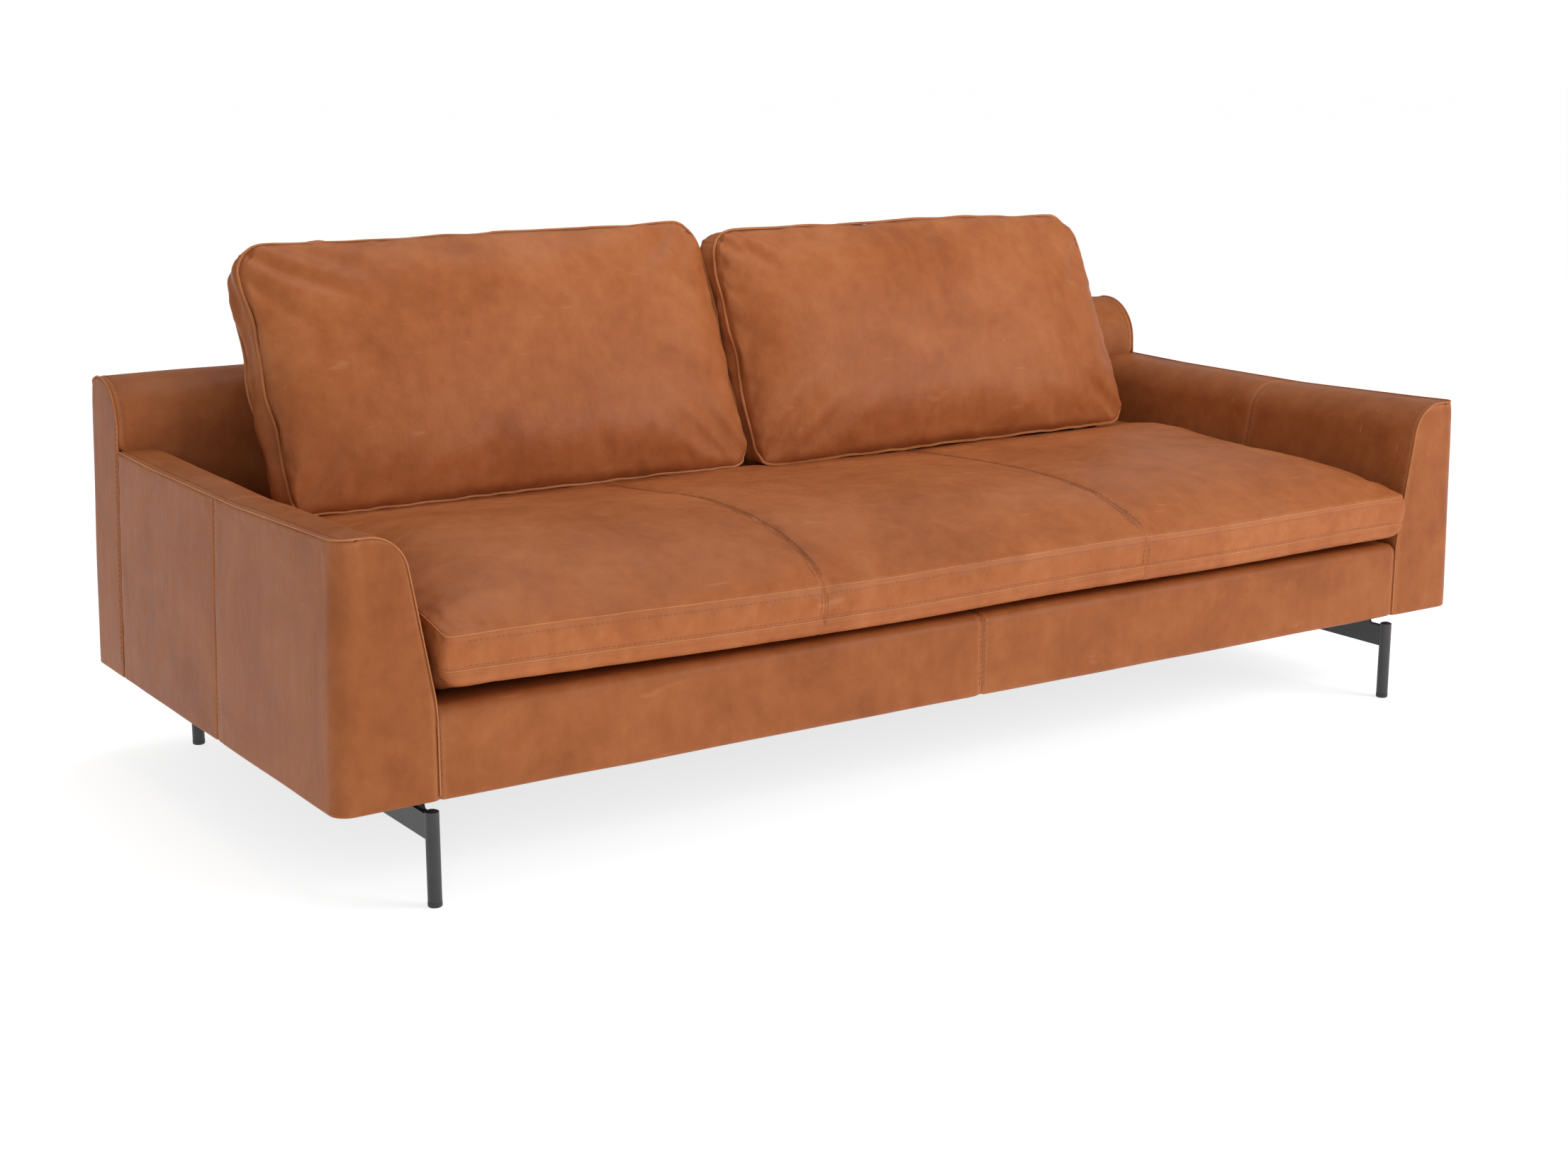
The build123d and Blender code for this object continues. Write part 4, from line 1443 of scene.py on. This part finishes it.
def fill(piece: bpy.types.Object, held: np.ndarray, pressure: float, fullness: float, cap: float) -> None:
    """Swell a cover with its filling, by cloth under pressure.

    Args:
        piece: The cover.
        held: How firmly each point is held, from 0 to 1.
        pressure: The filling's pressure.
        fullness: How much longer the leather is than the shape it starts from.
        cap: The most that a point may move.
    """
    group = piece.vertex_groups.new(name="held")
    for weight in np.unique(held[held > 0]):
        group.add([int(i) for i in np.nonzero(held == weight)[0]], float(weight), "REPLACE")
    pick(piece)
    cloth = piece.modifiers.new("filling", "CLOTH")
    cloth.settings.quality = 5
    cloth.settings.mass = 0.4
    cloth.settings.tension_stiffness = 20
    cloth.settings.compression_stiffness = 20
    cloth.settings.shear_stiffness = 8
    cloth.settings.bending_stiffness = 1.2
    cloth.settings.vertex_group_mass = "held"
    cloth.settings.shrink_min = -fullness
    cloth.settings.use_pressure = True
    cloth.settings.uniform_pressure_force = pressure
    cloth.settings.effector_weights.gravity = 0
    cloth.point_cache.frame_start = 1
    cloth.point_cache.frame_end = 20
    start = points_of(piece)
    for frame in range(1, 21):
        bpy.context.scene.frame_set(frame)
    bpy.ops.object.modifier_apply(modifier="filling")
    move = points_of(piece) - start
    far = np.maximum(np.linalg.norm(move, axis=1), 1e-9)
    limited = cap * np.tanh(far / cap)
    set_points(piece, start + move * (limited / far)[:, None])
    bpy.context.scene.frame_set(1)
    piece.vertex_groups.clear()
    log.info("%s: filled, largest move %.1f mm", piece.name, 1000 * limited.max())


def soften(piece: bpy.types.Object) -> None:
    """Subdivide a filled cover once.

    Args:
        piece: The cover.
    """
    pick(piece)
    finer = piece.modifiers.new("finer", "SUBSURF")
    finer.levels = 1
    finer.render_levels = 1
    bpy.ops.object.modifier_apply(modifier="finer")


@dataclass
class SeatCushion:
    """The bench cushion: three top panels, a boxed border between two seams and a soft belly below."""

    leather: bpy.types.Material
    thread: bpy.types.Material
    edge: bpy.types.Material
    seam_x: float = 0.330
    corner: float = 0.014
    rim_height: float = 0.389
    border: float = 0.0495
    edge_radius: float = 0.0012
    cad_top: float = 0.4664
    across: int = 150
    deep: int = 66
    cuts: int = 9

    def columns(self, a: np.ndarray, half: float) -> np.ndarray:
        """Return x for shares across, drawn close at the ends and at the two seams.

        Args:
            a: Shares across, from -1 to 1.
            half: Half the width.

        Returns:
            The place across of each point.
        """
        step = round(self.seam_x / half * self.across / 2) * 2 / self.across
        middle = (2 * crowd((a / step + 1) / 2, 0.75) - 1) * self.seam_x
        outer = self.seam_x + (half - self.seam_x) * crowd(
            np.clip((np.abs(a) - step) / (1 - step), 0, 1), 0.75
        )
        return np.where(np.abs(a) <= step + 1e-6, middle, np.sign(a) * outer)

    def crown(self, x: np.ndarray, y: np.ndarray, half: float, front: float, top: float) -> np.ndarray:
        """Return the height of the top face.

        Args:
            x: Places across.
            y: Places along the depth.
            half: Half the width.
            front: The front edge's place.
            top: The CAD cushion's top, under which the back cushions stand.

        Returns:
            The heights.
        """
        def swell(distance: np.ndarray, reach: float) -> np.ndarray:
            """Return 0 at a rim rising to 1 where the face is level."""
            return (1 - (1 - np.clip(distance / reach, 0, 1)) ** 2.6) ** 0.72

        ends = 0.42 + 0.58 * swell(half - np.abs(x), 0.28)
        full = 0.073 - 0.012 * np.clip(x / 0.5, -1, 1)
        ahead = self.rim(x) + full * swell(y - front, 0.34) * ends
        behind = 0.4465 - 0.0025 * (x > 0) - 0.010 * (1 - swell(half - np.abs(x), 0.10))
        fall = smooth(-0.22, 0.10, y)
        z = ahead * (1 - fall) + behind * fall
        starts = 0.160 - 0.018 * smooth(-0.05, 0.05, x)
        stand = smooth(0.0, 0.072, y - starts)
        return z * (1 - stand) + np.minimum(z, top - 0.0395) * stand

    def rim(self, x: np.ndarray) -> np.ndarray:
        """Return the height of the upper border seam in front, which rises at the left end."""
        return self.rim_height + 0.014 * smooth(0.45, 0.95, -x) + 0.0015 * np.sin(x * 9)

    def build(self) -> None:
        """Build, fill, sew and dress the cushion."""
        low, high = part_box("seat_cushion_cover")
        half, front, rear = high.x, low.y, high.y
        piece = Blank("seat_cover", (self.across, self.deep), self.cuts).build()
        a, b, c = noted(piece, "a"), noted(piece, "b"), noted(piece, "c")
        levels = np.linspace(0, 1, 11)
        inset = np.interp(
            c, levels, (0.024, 0.013, 0.006, 0.002, 0.0, 0.0012, 0.0, -0.001, -0.001, 0.0, 0.003)
        )
        middle = (rear + front) / 2
        along = (2 * crowd((b + 1) / 2, 0.7) - 1) * (rear - front) / 2
        flat = np.column_stack((self.columns(a, half), along))
        scale = 1 - np.column_stack((inset / half, inset / ((rear - front) / 2)))
        flat = rounded(flat, (half, (rear - front) / 2), self.corner) * scale
        x, y = flat[:, 0], flat[:, 1] + middle
        x = x + np.sign(a) * 0.006 * smooth(0.93, 1.0, np.abs(x) / half) * smooth(0.2, 0.6, c)
        top = self.crown(x, y, half, front, high.z)
        lift = self.rim(x) - self.rim_height
        seam_low = low.z + 0.0415 + lift
        under = low.z + 0.001 + 0.012 * (
            1 - smooth(front + 0.02, front + 0.10, y)
        ) + lift * (1 - smooth(front, front + 0.15, y))
        belly = under + (seam_low - under) * np.interp(c, levels[:6], (0.0, 0.11, 0.28, 0.5, 0.75, 1.0))
        z = np.where(c >= 0.5, seam_low + (c - 0.5) * 2 * (top - seam_low), belly)
        points = np.column_stack((x, y, z))
        on_rim = (np.abs(a) > 0.999) | (np.abs(b) > 0.999)
        points[:, 2] += np.where(on_rim & (b < 0) & (c > 0.45), 0.0012 * ripple(points, 0.11, 3.0), 0)
        set_points(piece, points)
        step = round(self.seam_x / half * self.across / 2) * 2 / self.across
        seam = np.abs(np.abs(a) - step) < 1e-3
        held = np.where(seam & (c > 0.5), 0.5, 0.0)
        held = np.where(on_rim & ((c > 0.99) | (np.abs(c - 0.5) < 0.01)), 1.0, held)
        held = np.where((c < 0.45) & ~(on_rim & (c > 0.15)), 1.0, held)
        held = np.where((b > 0.999) | (y > 0.30), 1.0, held)
        held = np.where((y > 0.12) & (c > 0.99) & (held == 0), 0.6, held)
        fill(piece, held, pressure=3.0, fullness=0.010, cap=0.012)
        soften(piece)
        self.groove(piece)
        self.pipe(piece)
        finish_mesh(piece, "seat_cushion", self.leather)
        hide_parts("seat_cushion_cover", "seat_cushion_core")
        self.sew(piece, half, front)

    def groove(self, piece: bpy.types.Object) -> None:
        """Press the seams in, pucker the leather beside them, mark painted shade in the seams and mark
        where it is worn.

        Args:
            piece: The filled cover.
        """
        a, b, c = (noted(piece, name) for name in "abc")
        points, normals = points_of(piece), normals_of(piece)
        beside = np.abs(np.abs(points[:, 0]) - self.seam_x)
        round_rim = (np.abs(a) > 0.97) | (np.abs(b) > 0.97)
        height = np.abs(
            points[:, 2][:, None] - np.column_stack(
                (self.rim(points[:, 0]), self.rim(points[:, 0]) - self.border)
            )
        ).min(axis=1)
        border = np.where(round_rim & (b < 0.9), height, 1.0)
        near = np.minimum(beside, border)
        press = -0.0016 * np.exp(-((beside / 0.0030) ** 2)) - 0.0018 * np.exp(-((border / 0.0028) ** 2))
        pucker = 0.0016 * np.exp(-near / 0.018) * ripple(points, 0.017, 8.0)
        press += pucker * smooth(0.001, 0.006, near)
        front = np.exp(-np.maximum(points[:, 1] + 0.50, 0) / 0.10)
        press += 0.0035 * np.exp(-beside / 0.05) * front * ripple(
            points * (1, 0.35, 1), 0.030, 21.0
        ) * (c > 0.5)
        left = np.exp(-np.hypot(points[:, 0] + 0.93, points[:, 1] + 0.46) / 0.09)
        press += 0.0045 * left * ripple(points * (0.5, 0.5, 1.4), 0.022, 31.0)
        press += 0.0022 * ripple(points, 0.19, 5.0) * (c > 0.9) * (np.abs(b) < 0.95)
        press = np.where((b > 0.97), 0.0, press)
        set_points(piece, points + normals * press[:, None])
        # The seam attribute is painted shade in the seam grooves and along the stitch rows; rub marks the
        # pale worn band.
        rows = np.exp(-(((near - 0.0055) / 0.0015) ** 2)) * 0.5
        note(piece, "seam", np.maximum(rows, np.exp(-((near / 0.0020) ** 2)) * 0.9))
        note(piece, "rub", np.exp(-(((near - 0.003) / 0.003) ** 2)) * 0.6)

    def pipe(self, piece: bpy.types.Object) -> None:
        """Lay the raised lapped edges along the border's two seams.

        Args:
            piece: The filled cover.
        """
        a, b, c = (noted(piece, name) for name in "abc")
        points = points_of(piece)
        for name, level in (("upper", 1.0), ("lower", 0.5)):
            at_level = np.abs(c - level) < 0.004
            chosen = np.nonzero(at_level & (b < -0.2) & ((b < -0.999) | (np.abs(a) > 0.999)))[0]
            order = chosen[np.argsort(np.arctan2(a[chosen], -b[chosen]))]
            path = points[order]
            path[:, 1] -= 0.0004
            cord = tube(f"lapped_edge_seat_{name}", path, self.edge_radius, False)
            finish_mesh(cord, "seat_cushion", self.edge)

    def sew(self, piece: bpy.types.Object, half: float, front: float) -> None:
        """Lay the topstitching along the border seams and beside the two upright seams.

        Args:
            piece: The filled cover.
            half: Half the width.
            front: The front edge's place.
        """
        across = np.linspace(-half + 0.03, half - 0.03, 260)
        rim = self.rim(across)
        just = np.full_like(across, front - 0.004)
        lines = [
            np.column_stack((across, just, rim - 0.0055)), np.column_stack((across, just, rim - 0.044))
        ]
        for seam in (-self.seam_x, self.seam_x):
            for way in (-1, 1):
                y = np.linspace(front + 0.012, 0.16, 120)
                x = np.full_like(y, seam + way * 0.0055)
                lines.append(np.column_stack((x, y, self.crown(x, y, half, front, self.cad_top) + 0.004)))
                z = np.linspace(0.345, 0.384, 12)
                lines.append(
                    np.column_stack(
                        (np.full_like(z, seam + way * 0.0055), np.full_like(z, front - 0.004), z)
                    )
                )
        stitches = Thread().sew("stitches_seat", piece, lines)
        finish_mesh(stitches, "seat_cushion", self.thread)


@dataclass
class BackCushion:
    """A loose back cushion: two full faces, a straight gusset, and a self-piped welt on each edge."""

    side: Side
    centre: float
    front_edge: tuple[float, float]
    tilt: float
    leather: bpy.types.Material
    welt: bpy.types.Material
    width: float = 0.884
    height: float = 0.441
    gusset: float = 0.065
    front_crown: float = 0.058
    rear_crown: float = 0.050
    corner: float = 0.034
    seed: float = 0.0
    sink: tuple[float, float] = (0.012, 0.012)
    slump: float = 0.0
    welt_radius: float = 0.0026

    def placed(self, flat: np.ndarray, out: np.ndarray) -> np.ndarray:
        """Return points of the leaning cushion.

        Args:
            flat: Places across and up the cushion, from its middle.
            out: Distance in front of the front welt's plane.

        Returns:
            Points in the sofa's frame.
        """
        lean = math.radians(self.tilt)
        up = flat[:, 1] + self.height / 2
        y = self.front_edge[0] + up * math.sin(lean) - out * math.cos(lean)
        z = self.front_edge[1] + up * math.cos(lean) + out * math.sin(lean)
        return np.column_stack((self.centre + flat[:, 0], y, z))

    def build(self) -> None:
        """Build, fill, pipe and dress the cushion."""
        word = self.side.word
        piece = Blank(f"back_cushion_{word}_cover", (104, 56), 5).build()
        a, b, c = noted(piece, "a"), noted(piece, "b"), noted(piece, "c")
        half = (self.width / 2, self.height / 2)
        flat = np.column_stack(
            ((2 * crowd((a + 1) / 2, 0.6) - 1) * half[0], (2 * crowd((b + 1) / 2, 0.6) - 1) * half[1])
        )
        gap = np.array(half) - np.abs(flat)
        flat = np.where(
            (b > 0)[:, None], rounded(flat, half, self.corner + 0.016), rounded(flat, half, self.corner)
        )
        # Each face swells out past its welts, so that it hides them from the front.
        face = ((c > 0.99) | (c < 0.01))[:, None] & np.column_stack((a == a, b > 0))
        over = 0.013 * np.sin(np.pi * np.clip(gap / 0.040, 0, 1)) * smooth(0.0, 0.030, gap[:, ::-1])
        flat += np.sign(flat) * over * face
        across, upward = np.abs(crowd_back(a)), np.abs(crowd_back(b))
        dome = ((1 - across**3.2) ** 0.46) * ((1 - upward ** np.where(b < 0, 7.0, 2.8)) ** 0.46)
        on_rim = (np.abs(a) > 0.999) | (np.abs(b) > 0.999)
        out = np.where(c > 0.99, dome * self.front_crown, 0.0)
        out = np.where(c < 0.01, -self.gusset - dome * self.rear_crown, out)
        out = np.where(on_rim, -(1 - c) * self.gusset, out)
        # The rims wander: the leather is eased into the welts and pulls them in and out.
        free = smooth(-0.995, -0.7, b)
        around = np.column_stack((flat, c * 0.4))
        wave = free * ripple(around, 0.075, self.seed) * 0.0060 + free * ripple(
            around, 0.20, self.seed + 4
        ) * 0.004
        keep = np.exp(-((1 - np.maximum(np.abs(a), np.abs(b))) / 0.05))
        flat *= 1 + (wave * keep / half[1])[:, None]
        out += free * keep * ripple(around, 0.09, self.seed + 9) * 0.004
        # The outer end sinks back a little towards its top.
        out -= self.slump * smooth(0.1, 1.0, self.side.value * a) * ((1 + b) / 2) ** 2
        drop = np.interp(a, (-1, 1), self.sink) * np.exp(-(1 + b) / 0.09) * smooth(0.55, 1.0, c)
        flat[:, 1] -= drop
        out += 0.4 * drop
        # The lower front welt is squeezed against the seat and runs in short waves.
        low = keep * (1 - free) * (c > 0.99) * smooth(-1.0, -0.8, -np.abs(a))
        flat[:, 1] += low * np.abs(ripple(around, 0.055, self.seed + 15)) * 0.006
        out += low * ripple(around, 0.060, self.seed + 19) * 0.005
        # The gusset swells a little between the welts, except below, where the cushion stands.
        swell = np.where(on_rim, np.sin(np.pi * c) * 0.006 * free, 0.0)
        flat += np.sign(flat) * (swell[:, None] * (np.column_stack((np.abs(a) > 0.999, np.abs(b) > 0.999))))
        set_points(piece, self.placed(flat, out))
        held = np.where(on_rim & ((c > 0.99) | (c < 0.01)), 1.0, 0.0)
        held = np.where(on_rim & (b < -0.99), 1.0, held)
        fill(piece, held, pressure=3.0, fullness=0.007, cap=0.013)
        soften(piece)
        rims = self.rims(piece)
        self.groove(piece)
        finish_mesh(piece, f"back_cushion_{word}", self.leather)
        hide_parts(f"back_cushion_cover_{word}", f"back_cushion_filling_{word}")
        for name, path in rims.items():
            cord = tube(f"welt_{name}_{word}", path, self.welt_radius, True)
            finish_mesh(cord, f"back_cushion_{word}", self.welt)

    def rims(self, piece: bpy.types.Object) -> dict[str, np.ndarray]:
        """Return the front and rear welts' paths, in order round the cushion.

        Args:
            piece: The filled cover.

        Returns:
            Each welt's path by its name.
        """
        a, b, c = noted(piece, "a"), noted(piece, "b"), noted(piece, "c")
        points = points_of(piece)
        on_rim = (np.abs(a) > 0.999) | (np.abs(b) > 0.999)
        lean = math.radians(self.tilt)
        ahead = np.array((0, -math.cos(lean), math.sin(lean)))
        paths = {}
        for name, level, way in (("front", 1.0, 1), ("rear", 0.0, -1)):
            chosen = np.nonzero(on_rim & (np.abs(c - level) < 0.01))[0]
            order = chosen[np.argsort(np.arctan2(b[chosen], a[chosen]))]
            path = points[order]
            outward = path - path.mean(axis=0)
            outward /= np.linalg.norm(outward, axis=1)[:, None]
            path = path + 0.0008 * outward + 0.0008 * way * ahead
            paths[name] = (path + np.roll(path, 1, axis=0) + np.roll(path, -1, axis=0)) / 3
        return paths

    def groove(self, piece: bpy.types.Object) -> None:
        """Press the leather in beside the welts, pucker it, mark painted shade beside the welts and mark
        where it is worn.

        Args:
            piece: The filled cover.
        """
        a, b, c = noted(piece, "a"), noted(piece, "b"), noted(piece, "c")
        points, normals = points_of(piece), normals_of(piece)
        half = (self.width / 2, self.height / 2)
        inward = np.minimum((1 - np.abs(crowd_back(a))) * half[0], (1 - np.abs(crowd_back(b))) * half[1])
        on_face = (c > 0.9) | (c < 0.1)
        edge = np.where(on_face & (inward > 0.0005), inward, np.minimum(c, 1 - c) * self.gusset)
        free = smooth(-0.97, -0.9, b)
        calm = 0.4 + 0.6 * smooth(-0.95, -0.4, b)
        press = 0.0034 * calm * np.exp(-edge / 0.022) * ripple(
            points, 0.021, self.seed + 2
        ) * smooth(0.0, 0.007, edge)
        press += 0.0024 * calm**2 * np.exp(-edge / 0.055) * ripple(points, 0.045, self.seed + 6)
        press += 0.0022 * ripple(points, 0.20, self.seed + 12)
        press -= 0.0012 * np.exp(-((edge / 0.003) ** 2))
        set_points(piece, points + normals * (press * np.maximum(free, on_face * 0.5))[:, None])
        # The seam attribute is painted shade in the grooves beside the welts.
        note(piece, "seam", np.exp(-((edge / 0.0045) ** 2)) * 0.9)
        note(piece, "rub", np.exp(-(((edge - 0.012) / 0.008) ** 2)) * 0.5)


def crowd_back(share: np.ndarray) -> np.ndarray:
    """Return the place from -1 to 1 that the cushion's crowded rows give a share."""
    return 2 * crowd((share + 1) / 2, 0.6) - 1


# ---------------------------------------------------------------- carried-over parts
@dataclass
class FramePartsDress:
    """Finishes for the CAD parts that stay as they are."""

    nodes: dict[str, bpy.types.Object]

    def build(self) -> None:
        """Dress every shown CAD part by its name."""
        made = {name: finish.make() for name, finish in self.finishes().items()}
        for name, node in self.nodes.items():
            if node.hide_render:
                continue
            key = next((finish for part, finish in self.by_name() if part in name), "pine")
            node.data.materials.clear()
            node.data.materials.append(made[key])
            log.info("%s: dressed in %s", name, made[key].name)

    def by_name(self) -> tuple[tuple[str, str], ...]:
        """Return which finish each family of parts takes, the first match holding.

        Returns:
            Part of a name, with its finish's short name.
        """
        return (
            ("leg_bolts", "zinc"),
            ("tee_nuts", "zinc"),
            ("leg_boards", "pine"),
            ("leg_caps", "cap"),
            ("foot_glides", "glide"),
            ("leg_", "steel"),
            ("mounting_brackets", "steel"),
            ("slider", "slider"),
            ("zip", "tape"),
            ("seat_springs", "spring"),
            ("spring_clips", "zinc"),
            ("webbing", "webbing"),
            ("deck_cloth", "deck"),
            ("dust_cover", "dust"),
            ("side_board", "board"),
        )

    def finishes(self) -> dict[str, PowderSteel | Grained]:
        """Return each finish by its short name.

        Returns:
            The finishes.
        """
        return {
            "steel": PowderSteel(),
            # Injection-moulded polyamide caps: near black and glossy.
            "cap": PowderSteel("moulded_polyamide_caps", "141416", 0.22),
            "glide": PowderSteel("moulded_polyamide_glides", "1b1b1c", 0.5),
            # Planed pine: rings stretched along the board.
            "pine": Grained("planed_pine", "d9b98a", "b98f5c", (9.0, 60.0, 60.0), 0.6),
            "board": Grained("hardboard", "8a6442", "6f4d31", (220.0, 220.0, 220.0), 0.7),
            "zinc": Grained(
                "zinc_plated_steel", "c3c7c9", "9ca2a6", (120.0, 120.0, 120.0), 0.35, 1.0, 0.05
            ),
            "spring": Grained(
                "drawn_spring_steel", "6a6c70", "4a4c50", (300.0, 300.0, 300.0), 0.35, 1.0, 0.05
            ),
            "webbing": Grained(
                "woven_jute_webbing", "b49a6c", "8a7048", (400.0, 60.0, 400.0), 0.85, 0.0, 0.4
            ),
            "deck": Grained("woven_deck_cloth", "3a2a20", "2a1d16", (500.0, 500.0, 500.0), 0.85, 0.0, 0.3),
            "dust": Grained(
                "spunbonded_dust_cloth", "1f1f20", "121213", (260.0, 260.0, 260.0), 0.9, 0.0, 0.3
            ),
            "tape": Grained("woven_zip_tape", "5a3a26", "44291a", (40.0, 900.0, 900.0), 0.8, 0.0, 0.4),
            "slider": Grained(
                "antique_brass_slider", "8d7a55", "6b5b3d", (200.0, 200.0, 200.0), 0.35, 1.0, 0.05
            ),
        }


# ---------------------------------------------------------------- stage
@dataclass
class Studio:
    """A white sweep, soft light from above and the right, and the camera."""

    eye: tuple[float, float, float] = (-2.3245, -3.3882, 1.2146)
    yaw: float = 33.86
    pitch: float = 13.29
    lens: float = 53.77

    def build(self) -> None:
        """Set the floor, the lights, the sky and the camera."""
        scene = bpy.context.scene
        scene.view_settings.view_transform = "Standard"
        scene.view_settings.look = "None"
        deselect()
        bpy.ops.mesh.primitive_plane_add(size=90, location=(0, 0, 0))
        floor = bpy.context.active_object
        floor.name = "floor"
        # A lit white sweep: much of its white is its own, so that shadows on it stay pale.
        material = bpy.data.materials.new("lit_white_sweep")
        material.use_nodes = True
        tree = material.node_tree
        tree.nodes.remove(tree.nodes["Principled BSDF"])
        matt = add(tree, "ShaderNodeBsdfDiffuse", None, {"Color": (0.66, 0.66, 0.66, 1)})
        glow = add(tree, "ShaderNodeEmission", None, {"Color": (1, 1, 1, 1), "Strength": 0.745})
        both = add(tree, "ShaderNodeAddShader", None, None, {0: matt.outputs[0], 1: glow.outputs[0]})
        tree.links.new(both.outputs[0], tree.nodes["Material Output"].inputs["Surface"])
        floor.data.materials.append(material)
        world = bpy.data.worlds.new("studio_white")
        world.use_nodes = True
        world.node_tree.nodes["Background"].inputs["Color"].default_value = (1, 1, 1, 1)
        seen = add(world.node_tree, "ShaderNodeLightPath").outputs["Is Camera Ray"]
        power = add(
            world.node_tree, "ShaderNodeMapRange", None, {"To Min": 0.38, "To Max": 1.0}, {"Value": seen}
        )
        world.node_tree.links.new(power.outputs[0], world.node_tree.nodes["Background"].inputs["Strength"])
        scene.world = world
        self.lamp("key", (2.8, -3.7, 2.3), (0.2, 0.0, 0.4), 2.2, 114.0)
        self.lamp("top", (0.2, 0.2, 3.6), (0.0, 0.0, 0.3), 2.6, 42.0)
        self.lamp("strip", (-3.2, -4.4, 1.5), (0.0, 0.2, 0.6), 0.9, 24.0)
        data = bpy.data.cameras.new("camera")
        data.lens = self.lens
        data.sensor_width = 36
        camera = bpy.data.objects.new("camera", data)
        camera.location = self.eye
        camera.rotation_euler = (math.radians(90 - self.pitch), 0, math.radians(-self.yaw))
        scene.collection.objects.link(camera)
        scene.camera = camera

    def lamp(
        self,
        name: str,
        place: tuple[float, float, float],
        aim: tuple[float, float, float],
        size: float,
        power: float,
    ) -> None:
        """Hang a square soft light.

        Args:
            name: Its name.
            place: Where it hangs.
            aim: The point that it faces.
            size: Its side.
            power: Its power in watts.
        """
        data = bpy.data.lights.new(name, "AREA")
        data.size = size
        data.energy = power
        lamp = bpy.data.objects.new(name, data)
        lamp.location = place
        lamp.rotation_euler = (Vector(aim) - Vector(place)).to_track_quat("-Z", "Y").to_euler()
        bpy.context.scene.collection.objects.link(lamp)


def main() -> None:
    """Build the sofa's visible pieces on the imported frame."""
    logging.basicConfig(level=logging.INFO, format="%(message)s")
    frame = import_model()
    Studio().build()
    leather = SemiAnilineLeather().make()
    cushion_leather = SemiAnilineLeather(
        "semi_aniline_leather_cushions", "a76137", "98552e", "b36e43", 0.14
    ).make()
    welt = SemiAnilineLeather("semi_aniline_leather_welts", "b97649", "a9683d", "c38356", 0.1).make()
    # Bonded polyester thread a shade paler than the leather: it reads as a dotted line.
    thread = Grained("bonded_polyester_thread", "b9764b", "93532f", (900.0, 900.0, 900.0), 0.55).make()
    UpholsteredBody(BodyForm.from_frame(), leather, thread, welt).build()
    SeatCushion(cushion_leather, thread, welt).build()
    for cushion in (
        BackCushion(
            Side.LEFT, -0.464, (0.169, 0.4544), 23.5, cushion_leather, welt, height=0.458, seed=1.3
        ),
        BackCushion(
            Side.RIGHT,
            0.434,
            (0.150, 0.4513),
            22.0,
            cushion_leather,
            welt,
            seed=8.1,
            sink=(0.012, 0.005),
            slump=0.028,
        ),
    ):
        cushion.build()
    FramePartsDress(frame["nodes"]).build()


if __name__ == "__main__":
    main()
